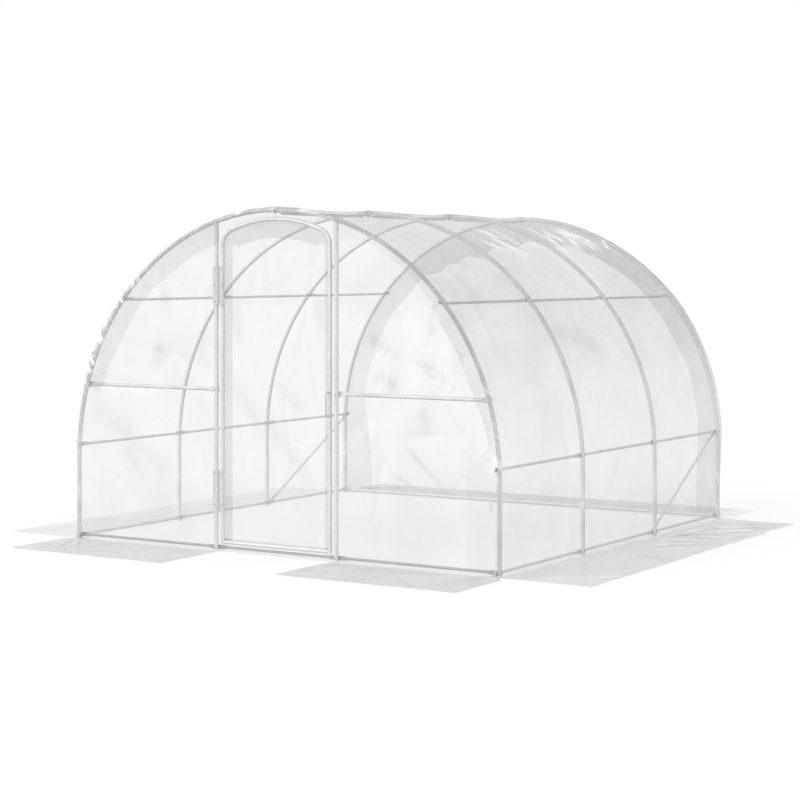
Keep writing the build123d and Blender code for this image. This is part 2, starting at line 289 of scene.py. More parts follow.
class NodeBench:
    """Builds the nodes of one material or world."""

    def __init__(self, owner: bpy.types.Material | bpy.types.World) -> None:
        """Clears the owner's nodes.

        Args:
            owner: The material or world.
        """
        self.owner = owner
        owner.use_nodes = True
        self.tree = owner.node_tree
        self.tree.nodes.clear()

    def add(self, kind: str, sockets: dict[str | int, object] | None = None, **settings: object) -> Node:
        """Adds a node.

        Args:
            kind: The node's type without its ShaderNode prefix.
            sockets: Input values or outputs to link, by input name or number.
            settings: The node's own settings.

        Returns:
            The new node.
        """
        node = self.tree.nodes.new("ShaderNode" + kind)
        for key, value in settings.items():
            setattr(node, key, value)
        for key, value in (sockets or {}).items():
            if isinstance(value, Socket):
                self.tree.links.new(value, node.inputs[key])
            else:
                node.inputs[key].default_value = value
        return node

    def math(self, operation: str, first: object, second: object = 0.0, clamp: bool = False) -> Socket:
        """Adds one sum of two numbers or outputs; clamp holds it between 0 and 1."""
        return self.add("Math", {0: first, 1: second}, operation=operation, use_clamp=clamp).outputs[0]

    def weighed(self, *terms: tuple[Socket, float]) -> Socket:
        """Adds up outputs, each times a weight.

        Args:
            terms: The outputs and their weights.

        Returns:
            The sum's output.
        """
        parts = [self.math("MULTIPLY", value, weight) for value, weight in terms]
        total = parts[0]
        for part in parts[1:]:
            total = self.math("ADD", total, part)
        return total

    def ramp(self, value: Socket, *stops: Spot) -> Socket:
        """Adds a grey ramp.

        Args:
            value: What is read.
            stops: Two pairs of place and grey level.

        Returns:
            The grey level's output.
        """
        node = self.add("ValToRGB", {0: value})
        for element, (place, level) in zip(node.color_ramp.elements, stops):
            element.position = place
            element.color = (level, level, level, 1.0)
        return node.outputs[0]

    def noise(self, place: Socket, scale: float, detail: float, distortion: float = 0.0) -> Socket:
        """Adds a noise texture with so many waves a metre and finer layers."""
        sockets = {"Vector": place, "Scale": scale, "Detail": detail, "Distortion": distortion}
        return self.add("TexNoise", sockets).outputs[0]

    def mix(self, part: object, first: object, second: object, blend: str = "MIX") -> Socket:
        """Mixes two colours."""
        return self.add("Mix", {0: part, 6: first, 7: second}, data_type="RGBA", blend_type=blend).outputs[2]

    def seen(self) -> Socket:
        """One for camera, glossy and transmission rays.

        Returns:
            The output.
        """
        path = self.add("LightPath").outputs
        direct = self.math("MAXIMUM", path["Is Camera Ray"], path["Is Glossy Ray"])
        return self.math("MAXIMUM", direct, path["Is Transmission Ray"])

    def finish(self, shader: Node, kind: str = "OutputMaterial") -> Finish | bpy.types.World:
        """Links the last shader to the surface, and gives the owner back."""
        self.add(kind, {0: shader.outputs[0]})
        return self.owner


@dataclass(frozen=True)
class GalvanisedSteel:
    """Zinc-coated steel with a faint spangle, dull streaks and small dark scuffs, and painted light that makes
    it a little paler low down.

    Args:
        name: The material's name.
        light: Linear grey of the bright zinc.
        dull: Linear grey of the weathered zinc.
        metal: How metallic it is.
        roughness: Middle roughness.
        spangle: Zinc crystals a metre.
    """

    name: str = "galvanised_steel"
    light: float = 0.82
    dull: float = 0.66
    metal: float = 0.30
    roughness: float = 0.46
    spangle: float = 130.0

    def make(self) -> Finish:
        """Builds the material.

        Returns:
            The material.
        """
        bench = NodeBench(bpy.data.materials.new(self.name))
        place = bench.add("TexCoord").outputs["Object"]
        cells = bench.add("TexVoronoi", {"Vector": place, "Scale": self.spangle}).outputs["Color"]
        crystal = bench.add("SeparateColor", {0: cells}).outputs[0]
        upright = bench.add("Mapping", {0: place, 3: (24.0, 24.0, 2.2)}).outputs[0]
        streak = bench.noise(upright, 1.0, 5.0)
        mixed = bench.weighed((crystal, 0.25), (bench.noise(place, 6.0, 4.0), 0.45), (streak, 0.40))
        height = bench.add("SeparateXYZ", {0: place}).outputs[2]
        # Painted light: the zinc is paler towards the foot of each part, most below 0.35 m and none above 0.75
        # m.
        mixed = bench.math("ADD", mixed, bench.ramp(height, (0.35, 0.25), (0.75, 0.0)))
        low = tuple(self.dull * tint for tint in (0.997, 1.0, 1.004)) + (1.0,)
        high = tuple(self.light * tint for tint in (0.998, 1.0, 1.003)) + (1.0,)
        zinc = bench.mix(bench.ramp(mixed, (0.32, 0.0), (0.72, 1.0)), low, high)
        scuffs = bench.ramp(bench.noise(place, 95.0, 5.0), (0.66, 1.0), (0.78, 0.72))
        rough = bench.math("ADD", bench.math("MULTIPLY", mixed, -0.22), self.roughness + 0.11, clamp=True)
        grain = {"Strength": 0.22, "Distance": 0.0006, "Height": bench.noise(place, 320.0, 3.0)}
        shader = bench.add("BsdfPrincipled", {
            "Base Color": bench.mix(1.0, zinc, scuffs, "MULTIPLY"),
            "Metallic": self.metal,
            "Roughness": rough,
            "Normal": bench.add("Bump", grain).outputs[0],
            "Specular IOR Level": 0.25,
        })
        return bench.finish(shader)


@dataclass(frozen=True)
class ClearFilm:
    """Clear greenhouse film: thin grey haze, cloudy patches, fine scratches, and white glints painted on its
    creases as highlights.

    The sheets carry two point attributes: haze is how much it hides, with painted crease shade in it, and
    glint is a painted highlight, how white a crease is painted.

    Args:
        name: The material's name.
        grey: Linear grey of the haze.
        white: Linear grey of a painted glint.
        cloud: How strongly the haze varies.
        roughness: Middle roughness of its gloss.
    """

    name: str = "clear_film"
    grey: float = 0.36
    white: float = 0.95
    cloud: float = 0.42
    roughness: float = 0.16

    def make(self) -> Finish:
        """Builds the material, in which a painted glint lies over the haze and hides it.

        Returns:
            The material.
        """
        bench = NodeBench(bpy.data.materials.new(self.name))
        place = bench.add("TexCoord").outputs["UV"]
        haze = bench.add("Attribute", attribute_name="haze").outputs["Fac"]
        glint = bench.add("Attribute", attribute_name="glint").outputs["Fac"]
        patches = bench.noise(place, 6.0, 2.5)
        both = bench.weighed((bench.noise(place, 1.9, 2.0, 0.5), 0.65), (patches, 0.35))
        swing = bench.math("MULTIPLY", bench.math("SUBTRACT", both, 0.5), 2.0 * self.cloud)
        vary = bench.math("ADD", swing, 1.0)
        broken = bench.ramp(bench.noise(place, 14.0, 1.0), (0.38, 0.60), (0.58, 1.0))
        # Painted highlight: where the glint is, the colour turns white and the film more opaque.
        shine = bench.math("MULTIPLY", bench.math("MULTIPLY", glint, broken), 0.95, clamp=True)
        under = bench.math("MULTIPLY", bench.math("MULTIPLY", haze, vary), bench.math("SUBTRACT", 1.0, shine))
        total = bench.math("MAXIMUM", bench.math("ADD", under, shine), 0.001)
        dark = (self.grey * 0.997, self.grey, self.grey * 1.003, 1.0)
        bright = (self.white, self.white, self.white, 1.0)
        scratches = {"Strength": 0.14, "Distance": 0.001, "Height": bench.noise(place, 18.0, 3.0)}
        shader = bench.add("BsdfPrincipled", {
            "Base Color": bench.mix(bench.math("DIVIDE", shine, total, clamp=True), dark, bright),
            "Roughness": bench.math("ADD", bench.math("MULTIPLY", patches, 0.2), self.roughness, clamp=True),
            "Alpha": bench.math("MINIMUM", total, 1.0),
            "Normal": bench.add("Bump", scratches).outputs[0],
            "IOR": 1.5,
        })
        return bench.finish(shader)


@dataclass
class FilmPatch:
    """One rectangular net of points that becomes a sheet.

    Args:
        points: Rows by columns by three places in metres.
        flat: Rows by columns by two places on the cut sheet, in metres.
        haze: Rows by columns, how much the film hides.
        glint: Rows by columns, how white its creases are.
        keep: One flag for each face, or None for all.
    """

    points: Grid
    flat: Grid
    haze: Grid
    glint: Grid
    keep: Grid | None = None

    def faces(self, start: int) -> list[tuple[int, ...]]:
        """Lists the net's faces.

        Args:
            start: The number of its first point.

        Returns:
            Four point numbers a face.
        """
        rows, columns = self.points.shape[:2]
        keep = np.ones((rows - 1, columns - 1), bool) if self.keep is None else self.keep
        row, column = np.nonzero(keep)
        low = start + row * columns + column
        corners = np.stack([low, low + 1, low + columns + 1, low + columns], -1)
        return [tuple(face) for face in corners.tolist()]


def film_object(name: str, patches: list[FilmPatch], material: Finish, flip: bool) -> Piece:
    """Makes one film sheet of one or more nets.

    Args:
        name: The piece's name.
        patches: Its nets, whose shared edges are welded.
        material: Its finish.
        flip: Whether its faces are turned over.

    Returns:
        The new object.
    """
    faces, start = [], 0
    for patch in patches:
        faces += patch.faces(start)
        start += patch.haze.size
    if flip:
        faces = [face[::-1] for face in faces]
    mesh = bpy.data.meshes.new(name)
    mesh.from_pydata(np.concatenate([patch.points.reshape(-1, 3) for patch in patches]).tolist(), [], faces)
    for label in ("haze", "glint"):
        values = np.concatenate([getattr(patch, label).ravel() for patch in patches]).astype(np.float32)
        mesh.attributes.new(label, "FLOAT", "POINT").data.foreach_set("value", values)
    corners = np.empty(len(mesh.loops), np.int32)
    mesh.loops.foreach_get("vertex_index", corners)
    flat = np.concatenate([patch.flat.reshape(-1, 2) for patch in patches])[corners]
    mesh.uv_layers.new(name="cut").data.foreach_set("uv", flat.astype(np.float32).ravel())
    net = bmesh.new()
    net.from_mesh(mesh)
    bmesh.ops.remove_doubles(net, verts=net.verts, dist=0.00005)
    bmesh.ops.dissolve_degenerate(net, edges=net.edges, dist=0.00002)
    bmesh.ops.delete(net, geom=[point for point in net.verts if not point.link_faces], context="VERTS")
    net.to_mesh(mesh)
    net.free()
    mesh.polygons.foreach_set("use_smooth", [True] * len(mesh.polygons))
    mesh.materials.append(material)
    piece = bpy.data.objects.new(name, mesh)
    bpy.context.collection.objects.link(piece)
    return piece


# Creases of the roof and walls: broad, small, bright ones in two bays, and at the front edge. Their heights
# shape the sheet, and their flanks' shade and glints are painted into its haze and glint.
ROOF_CREASES = (
    FoldField(
        11, 34, (-2.8, -1.4), (2.8, 1.4), (0.5, 1.3), (0.035, 0.070), (0.003, 0.006), 35.0, 50.0, 0.4
    ),
    FoldField(
        12, 40, (-2.8, -1.45), (2.8, 1.45), (0.12, 0.40), (0.016, 0.028), (0.001, 0.003), 10.0, 80.0, 0.3, 0.04
    ),
    FoldField(
        13, 11, (0.66, -0.16), (0.84, 0.08), (0.14, 0.30), (0.011, 0.015), (0.002, 0.006), 22.0, 10.0, 0.9, 1.5
    ),
    FoldField(
        18, 26, (0.60, 0.58), (0.84, 1.12), (0.12, 0.30), (0.011, 0.018), (0.003, 0.008), -3.0, 14.0, 0.9, 1.6
    ),
    FoldField(
        14, 12, (0.25, -1.46), (1.3, -1.30), (0.06, 0.20), (0.012, 0.018), (0.002, 0.004), 20.0, 60.0, 0.4, 0.4
    ),
)
# Creases of the skirts: calm on both sides, and rucked towards the back on the right. Their heights shape the
# skirts, and their flanks' shade is painted into the haze.
SKIRT_CREASES = (
    FoldField(
        15, 9, (-FOOT_RUN - 0.5, -1.4), (-FOOT_RUN - 0.03, 1.4), (0.2, 0.6), (0.04, 0.07), (0.001, 0.003),
        60.0, 40.0, 0.3,
    ),
    FoldField(
        16, 8, (FOOT_RUN + 0.03, -1.4), (FOOT_RUN + 0.5, 0.2), (0.2, 0.6), (0.04, 0.07), (0.001, 0.003),
        70.0, 40.0, 0.3,
    ),
    FoldField(
        17, 9, (FOOT_RUN + 0.05, 0.3), (FOOT_RUN + 0.45, 1.40), (0.35, 0.80), (0.030, 0.050), (0.006, 0.014),
        40.0, 9.0, 0.5,
    ),
)
# Painted highlights: places on the roof where the film throws the light back, painted white through the glint,
# by run and Y.
ROOF_GLEAMS = folds(
    (0.73, -0.35, 0.87, -0.33, 0.016, 1.0), (0.76, -0.31, 0.92, -0.27, 0.018, 1.0),
    (0.82, -0.16, 0.99, -0.10, 0.018, 1.0), (0.80, -0.10, 0.97, -0.03, 0.016, 0.8),
    (0.84, -0.07, 0.99, 0.00, 0.014, 0.6), (0.74, 0.27, 0.87, 0.22, 0.018, 1.0),
    (0.72, 0.20, 0.83, 0.18, 0.014, 0.8), (0.54, 1.04, 0.84, 0.98, 0.055, 0.9),
    (0.60, 0.66, 0.80, 0.76, 0.045, 0.55), (0.68, 0.84, 0.86, 0.80, 0.035, 0.45),
    (0.68, 1.42, 0.88, 1.18, 0.018, 1.2), (1.05, -1.22, 1.15, -0.84, 0.034, 0.30),
    (1.14, -1.16, 1.20, -0.92, 0.026, 0.25), (1.38, -1.20, 1.42, -0.90, 0.030, 0.30),
    (1.46, -1.44, 1.55, -1.22, 0.030, 0.30),
)
# Painted shadows of soft slanting slack in the left wall: grey strokes in its haze, by run and Y; the slack is
# not in the mesh.
PAINTED_SLACK_SHADOWS = folds(
    (-1.86, -0.08, -2.48, 0.62, 0.055, 1.0), (-2.12, 0.32, -2.86, 1.18, 0.060, 1.0),
    (-1.95, 0.50, -2.30, 1.02, 0.045, 1.0), (-2.02, -1.40, -2.62, -0.45, 0.060, 1.0),
    (-2.22, -1.10, -2.66, -0.75, 0.040, 1.0), (-1.30, -0.35, -1.80, 0.10, 0.055, 1.0),
    (-1.20, 0.50, -1.75, 1.10, 0.055, 1.0),
)
# White and grey streaks on the right skirt, by X and Y: the white ones are painted highlights and the grey
# ones below are painted shade.
SKIRT_PAINTED_HIGHLIGHTS = folds(
    (1.50, -0.05, 1.80, 0.21, 0.0340, 1.3), (1.68, -0.13, 1.96, 0.11, 0.0289, 1.3),
    (1.58, 0.68, 1.65, 0.95, 0.0340, 1.3), (1.57, 0.44, 1.66, 0.72, 0.0340, 1.3),
    (1.92, -1.24, 2.04, -1.07, 0.0255, 1.3), (1.93, -0.09, 2.03, 0.07, 0.0255, 1.3),
    (1.62, 0.28, 1.85, 0.44, 0.0323, 1.3), (1.75, -0.37, 1.94, -0.19, 0.0238, 1.3),
    (1.62, 0.98, 1.82, 1.16, 0.0255, 1.3), (1.75, 0.83, 1.97, 1.04, 0.0272, 1.3),
    (1.70, 0.50, 1.92, 0.66, 0.0238, 1.3),
)
SKIRT_PAINTED_SHADE = folds(
    (1.58, 1.27, 1.79, 1.40, 0.016, 0.55), (1.86, 0.83, 2.01, 1.34, 0.016, 0.55),
    (1.98, 0.46, 1.97, 0.88, 0.014, 0.55), (1.60, 0.02, 1.98, 0.34, 0.030, 0.55),
    (1.66, 0.60, 1.86, 0.80, 0.022, 0.55), (1.78, 1.05, 1.98, 1.25, 0.022, 0.55),
)


def gathers(end: End, run: Grid) -> Grid:
    """How the film is gathered round an end hoop, most on the left of the front one and over its door.

    Args:
        end: Which end.
        run: Distance along the film from the ridge.

    Returns:
        Signed heights in metres.
    """
    zig = Ripple(31 + end.value).line(run * 17.0, 0.7) + 0.5 * Ripple(33 + end.value).line(run * 33.0, 0.2)
    strong = 0.0030 * np.ones(run.shape)
    if end is End.FRONT:
        strong = strong + 0.0085 * hump(run, -1.55, 0.42) + 0.0045 * hump(run, 0.0, 0.75)
        strong = strong + 0.003 * hump(run, 1.2, 0.5)
    return zig * smooth_step(ARCH + 0.02, ARCH - 0.5, np.abs(run)) * strong * 1.4


def dashes(run: Grid, across: float) -> Grid:
    """Where the gathers over the front hoop are painted with highlights.

    Args:
        run: Distance along the film from the ridge, for each point.
        across: How far round the hoop, from 0 on top to 1 in front.

    Returns:
        Numbers from 0 to 1.
    """
    left = hump(run, -1.52, 0.42, 4)
    top = 0.4 * hump(run, -0.1, 0.55, 4)
    right = 0.4 * hump(run, 2.1, 0.35)
    ripple = Ripple(41).line(run * 21.0 + across * 0.8, 0.3)
    return np.clip(ripple * 4.5 - 0.35, 0.0, 1.0) * np.maximum(np.maximum(left, top), right)


@dataclass(frozen=True)
class Profile:
    """The line that the long sheet follows across the tunnel, from the left skirt's edge to the right one's.

    Args:
        run: Distance along the film from the ridge, positive on the right.
        place: Places as x and z.
        out: Outward directions.
    """

    run: Grid
    place: Grid
    out: Grid


@dataclass(frozen=True)
class CoverNet:
    """Points on the long sheet.

    Args:
        run: Distance of each along the film from the ridge, positive on the right.
        y: Place of each along the tunnel.
    """

    run: Grid
    y: Grid

    def over_bolts(self) -> Grid:
        """How far the bolts' heads push the film out.

        Returns:
            Distances in metres.
        """
        mid_run = ARCH - FILM_RADIUS * math.asin((MID_RAIL_Z - LEG_HEIGHT) / SEAT_RADIUS)
        push = np.zeros(self.run.shape)
        for at_run in (0.0, ARCH - FILM_RADIUS * UPPER_ANGLE, mid_run, FOOT_RUN - BASE_RAIL_Z):
            for at_y in HOOP_PLACES:
                gap = np.hypot(np.abs(self.run) - at_run, self.y - at_y)
                push = np.maximum(push, 0.0046 * hump(gap, 0.0, 0.034))
        return push

    def bulge(self) -> Grid:
        """How far the film stands out from the hoops' line.

        Returns:
            Heights in metres.
        """
        run, y, far = self.run, self.y, np.abs(self.run)
        between = np.sin(math.pi * (np.clip((y + END_Y) / BAY, 0.0, 3.0) % 1.0))
        loose = between**0.7
        crown = hump(far, 0.0, 0.42)
        belly = -0.012 * crown * between + 0.004 * between * (1.0 - crown)
        right = smooth_step(0.8, 1.5, run) * smooth_step(2.75, 2.2, run) * smooth_step(0.8, 1.35, y)
        left = smooth_step(-1.1, -1.6, run) * smooth_step(-2.3, -1.9, run) * smooth_step(-1.1, -1.4, y)
        soft = Ripple(3).at(run * 1.7, y * 2.3) * 0.012 + Ripple(4).at(run * 4.1, y * 5.3) * 0.004
        soft = (soft + 0.004) * (1.0 - 0.75 * crown)
        creased = read_fields(ROOF_CREASES, run, y)[0] * (0.2 + 0.8 * loose) * (1.0 - 0.7 * crown)
        hung = 0.020 * right + 0.010 * left
        above = np.maximum(loose * soft + creased, -0.5 * between * soft) + belly + hung
        above = np.maximum(above, np.minimum(belly, 0.0))
        above = np.maximum(above, self.over_bolts() - 0.013 * between)
        for end in End:
            above = above + np.abs(gathers(end, run)) * np.exp(-np.abs(y - end.value * END_Y) / 0.045)
        ground = smooth_step(ARCH + 0.49, ARCH + 0.53, far)
        return above * (1.0 - ground) + ground * (SKIRT_LIFT + read_fields(SKIRT_CREASES, run, y)[0])

    def ragged(self, skirt: float) -> Grid:
        """How far the skirts' outer edges fall short of a straight line.

        Args:
            skirt: How far the skirts lie out.

        Returns:
            Signed distances in metres along X.
        """
        part = np.clip((np.abs(self.run) - FOOT_RUN) / skirt, 0.0, 1.0)
        wave = 0.5 + 0.6 * Ripple(19).line(self.y * 3.7, 0.4) + 0.4 * Ripple(20).line(self.y * 9.1, 0.7)
        reach = np.where(self.run > 0.0, 0.006 + 0.040 * smooth_step(-0.6, 0.4, self.y), 0.008)
        return np.sign(self.run) * reach * np.clip(wave, 0.0, 1.0) * part**2


@dataclass
class RoofCover:
    """The long sheet: skirt, wall, roof, wall and skirt in one piece, its ends folded round the end hoops.

    Args:
        material: The film.
        skirt: How far it lies out on the ground.
        leg_band: Width folded over beside a leg.
        arch_band: Width folded over along the arch.
        haze: How much one layer hides.
        stand_off: How far the folded-over edge lies in front of the hoop's axis.
        bend: Radius of the turn round the hoop, on the cut sheet.
        wrap: Length of that turn on the cut sheet.
        turns: Steps in the turn round the hoop.
        strips: Steps across the folded-over edge.
    """

    material: Finish
    skirt: float = SKIRT_EDGE_X - FILM_RADIUS
    leg_band: float = 0.225
    arch_band: float = 0.135
    haze: float = 0.075
    stand_off: float = 0.0155
    bend: float = 0.0145
    wrap: float = 0.0228
    turns: int = 5
    strips: int = 9

    def haze_at(self, run: Grid) -> Grid:
        """How much one layer hides: the film's own haze, with painted shade that makes it more over the top
        and down the right than on the left.
        """
        return self.haze + 0.30 * smooth_step(-1.0, 0.3, run) - 0.19 * smooth_step(1.3, 2.2, run)

    def profile(self) -> Profile:
        """Draws the line across the tunnel.

        Returns:
            The line.
        """
        wall = LEG_HEIGHT - GROUND_Z - FOLD_RADIUS
        foot = ARCH + wall
        turned = foot + FOLD_RADIUS * QUARTER
        half = graded(
            (0.0, 0.5, 25), (0.5, 1.05, 47), (1.05, 1.95, 77), (1.95, ARCH, 23), (ARCH, ARCH + 0.36, 14),
            (ARCH + 0.36, foot, 11), (foot, turned, 5), (turned, turned + self.skirt - FOLD_RADIUS, 33),
        )
        run = np.concatenate([-half[:0:-1], half])
        side, far = np.sign(run), np.abs(run)
        angle = np.clip(far / FILM_RADIUS, 0.0, QUARTER)
        swing = np.clip((far - foot) / FOLD_RADIUS, 0.0, QUARTER)
        down = np.clip(far - ARCH, 0.0, wall)
        laid = np.clip(far - turned, 0.0, None)
        x = FILM_RADIUS * np.sin(angle) + FOLD_RADIUS * (1.0 - np.cos(swing)) + laid
        z = LEG_HEIGHT + FILM_RADIUS * np.cos(angle) - down - FOLD_RADIUS * np.sin(swing)
        lift = np.where(far < ARCH, np.cos(angle), np.sin(swing))
        lean = np.where(far < ARCH, np.sin(angle), np.cos(swing))
        return Profile(run, np.stack([side * x, z], -1), np.stack([side * lean, lift], -1))

    def dressing(self, net: CoverNet) -> tuple[Grid, Grid]:
        """How the sheet looks at each point.

        Args:
            net: The sheet's points.

        Returns:
            How much it hides, with painted shade in it, and how white its painted highlights are.
        """
        run, y = net.run, net.y
        shade, glint = read_fields(ROOF_CREASES, run, y)[1:]
        laid_shade = np.clip(read_fields(SKIRT_CREASES, run, y)[1], -1.0, 1.0)
        on_ground = smooth_step(ARCH + 0.50, ARCH + 0.53, np.abs(run))
        ground_x = run - FOOT_RUN + FILM_RADIUS
        # Painted highlights: the creases' glints, the roof's gleams, the right skirt's white streaks and the
        # dashes over the front hoop.
        glint = np.maximum(glint, strongest(ROOF_GLEAMS, run, y)) * (1.0 - on_ground)
        glint = glint + on_ground * strongest(SKIRT_PAINTED_HIGHLIGHTS, ground_x, y)
        glint = glint + dashes(run, 0.0) * hump(y, -END_Y, 0.02) * (1.0 - on_ground)
        patchy = Ripple(7).at(run * 2.3, y * 2.6) + 0.5 * Ripple(10).at(run * 5.1, y * 5.7)
        # Painted shade: crease flanks darken or lighten the haze, and the slack in the left wall paints grey
        # shadows into it.
        haze = self.haze_at(run) * (1.0 + 0.16 * patchy - 0.35 * np.clip(shade, -1.0, 1.0))
        haze = haze * (1.0 + 1.1 * strongest(PAINTED_SLACK_SHADOWS, run, y))
        # Painted shade: a darker strip along the ridge over the first two bays, where the film is seen
        # edge-on.
        haze = haze + 0.42 * hump(run, 0.0, 0.055) * smooth_step(0.9, 0.4, y)
        laid = np.where(run < 0.0, 0.165 - 0.060 * smooth_step(-0.9, -0.2, y), 0.31)
        # Painted shade: the skirts' crease flanks and grey streaks darken their haze.
        laid = laid * (1.0 - 0.30 * laid_shade + 0.06 * patchy + strongest(SKIRT_PAINTED_SHADE, ground_x, y))
        return haze * (1.0 - on_ground) + on_ground * laid, glint

    def build(self) -> Piece:
        """Builds the sheet, hangs it on the tunnel's body and hides the CAD nodes that it stands for.

        Returns:
            The finished piece.
        """
        line = self.profile()
        stations = graded((-END_Y, -0.3, 53), (-0.3, 1.2, 106), (1.2, END_Y, 16))
        net = CoverNet(*np.meshgrid(line.run, stations))
        height = net.bulge()
        x = line.place[:, 0] + line.out[:, 0] * height - net.ragged(self.skirt)
        points = np.stack([x, net.y, line.place[:, 1] + line.out[:, 1] * height], -1)
        haze, glint = self.dressing(net)
        patches = [FilmPatch(points, np.stack([net.run, net.y], -1), haze, glint)]
        for end in End:
            row = 0 if end is End.FRONT else -1
            patches.append(self.band(end, line, height[row], haze[row], points[row]))
        piece = film_object("film_roof_and_walls", patches, self.material, flip=False)
        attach(piece, "tunnel")
        names = ("wall_film", "lower_roof_film", "upper_roof_film", "ground_film")
        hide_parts(*(f"{name}_{side.word}" for side in Side for name in names))
        return piece

    def band_width(self, end: End, run: Grid, rise: Grid) -> Grid:
        """How wide the folded-over edge is.

        Args:
            end: Which end.
            run: Distance along the film from the ridge.
            rise: Height of each place.

        Returns:
            Widths in metres.
        """
        leg = self.leg_band * np.where((run > 0.0) & (end is End.BACK), 0.70, 1.0)
        width = self.arch_band + (leg - self.arch_band) * (1.0 - smooth_step(0.20, 0.95, rise))
        if end is End.FRONT:
            narrow = 0.050 + 0.030 * smooth_step(0.70, 1.10, rise) - 0.040 * smooth_step(1.45, 1.68, rise)
            right = narrow + (0.205 - narrow) * (1.0 - smooth_step(0.58, 0.72, rise))
            width = width + (right - width) * smooth_step(0.45, 0.70, run)
        waves = Ripple(21 + end.value).line(run * 3.1, 0.4) * smooth_step(0.6, 1.0, rise)
        width = width * (1.0 + 0.20 * waves)
        if end is End.BACK:
            width = width + 0.045 * hump(run, -0.35, 0.55, 4)
            width = width * (1.0 + 0.45 * Ripple(45).line(run * 6.0, 0.6) * hump(run, -0.1, 1.0, 4))
        return width

    @staticmethod
    def band_haze(end: End, run: Grid, rise: Grid) -> Grid:
        """How much the folded-over edge hides.

        Args:
            end: Which end.
            run: Distance along the film from the ridge.
            rise: Height of each place.

        Returns:
            Opacities.
        """
        if end is End.BACK:
            return 0.14 + 0.06 * smooth_step(-1.0, 0.8, run) + 0.17 * hump(run, 0.0, 1.5, 4)
        left = 0.012 + 0.19 * smooth_step(0.88, 1.02, rise) + 0.05 * smooth_step(0.46, 0.38, np.abs(run))
        right = 0.055 + 0.14 * smooth_step(0.62, 0.72, rise) * smooth_step(0.6, 1.0, run)
        return np.where(run < 0.0, left, right)

    def band(self, end: End, line: Profile, swell: Grid, haze: Grid, points: Grid) -> FilmPatch:
        """Folds one end of the sheet round its hoop and in over the end film.

        Args:
            end: Which end.
            line: The line across the tunnel.
            swell: How far the sheet's last row stands out.
            haze: How much its last row hides.
            points: Its last row of points.

        Returns:
            The net of the folded end.
        """
        turns, strips = self.turns, self.strips
        run, rise = line.run, line.place[:, 1]
        width = self.band_width(end, run, rise)
        doorway = (np.abs(line.place[:, 0]) < POST_X - 0.011) & (end is End.FRONT)
        skirt = np.abs(run) > FOOT_RUN - GROUND_Z - FOLD_RADIUS + 1e-6
        gather = gathers(end, run)
        ruck = gather / 0.006
        axis_gap = FILM_RADIUS - HOOP_RADIUS
        base = line.place - line.out * axis_gap
        net, flat, body, shine = [points], [], [], []
        steps = [(QUARTER * step / turns, 0.0) for step in range(turns + 1)]
        steps += [(QUARTER, step / strips) for step in range(1, strips + 1)]
        for number, (angle, part) in enumerate(steps):
            turn = angle + np.where(doorway, part * math.radians(75.0), 0.0)
            outward = (axis_gap + swell) * np.cos(turn) - np.where(doorway, 0.0, part * width)
            grain = np.abs(gather) * (0.6 * math.sin(angle) + 1.2 * part * (1.0 - part))
            beyond = self.stand_off * np.sin(turn) + grain
            lean = gather * 1.6 * (part + angle * 0.3)
            x = base[:, 0] + line.out[:, 0] * outward + line.out[:, 1] * lean
            z = base[:, 1] + line.out[:, 1] * outward - line.out[:, 0] * lean
            if angle > 0.8:
                beyond = beyond + tented(x, z) * math.sin(angle)
            x = np.where(skirt, points[:, 0], x)
            y = end.value * (END_Y + np.where(skirt, HOOP_TUBE * min(1.0, number / turns), beyond))
            z = np.where(skirt, points[:, 2], z)
            if number:
                net.append(np.stack([x, y, z], -1))
            reach = self.bend * angle if part == 0.0 else self.wrap
            flat.append(np.stack([run, end.value * (END_Y + reach + part * width)], -1))
            if part > 0.0:
                over = self.band_haze(end, run, rise)
            else:
                over = self.haze_at(run) + 0.1 * math.sin(angle)
            # Painted shade and highlight: the gathers darken or lighten the folded edge, and the dashes over
            # the front hoop are painted white.
            body.append(np.where(skirt, haze, over * (1.0 + np.clip(ruck, -0.7, 1.0) * 0.2)))
            glint = 0.15 * np.clip(ruck - 0.3, 0.0, 0.8) * np.where(skirt, 0.0, 1.0)
            if end is End.FRONT and part < 0.2:
                glint = glint + 2.2 * dashes(run, angle / QUARTER + part) * (1.0 - 4.0 * part)
            shine.append(glint)
        keep = np.ones((len(steps) - 1, len(run) - 1), bool)
        keep[turns:, skirt[:-1] | skirt[1:]] = False
        parts = [np.array(part) for part in (net, flat, body, shine)] + [keep]
        return FilmPatch(*(part[::end.value] for part in parts))


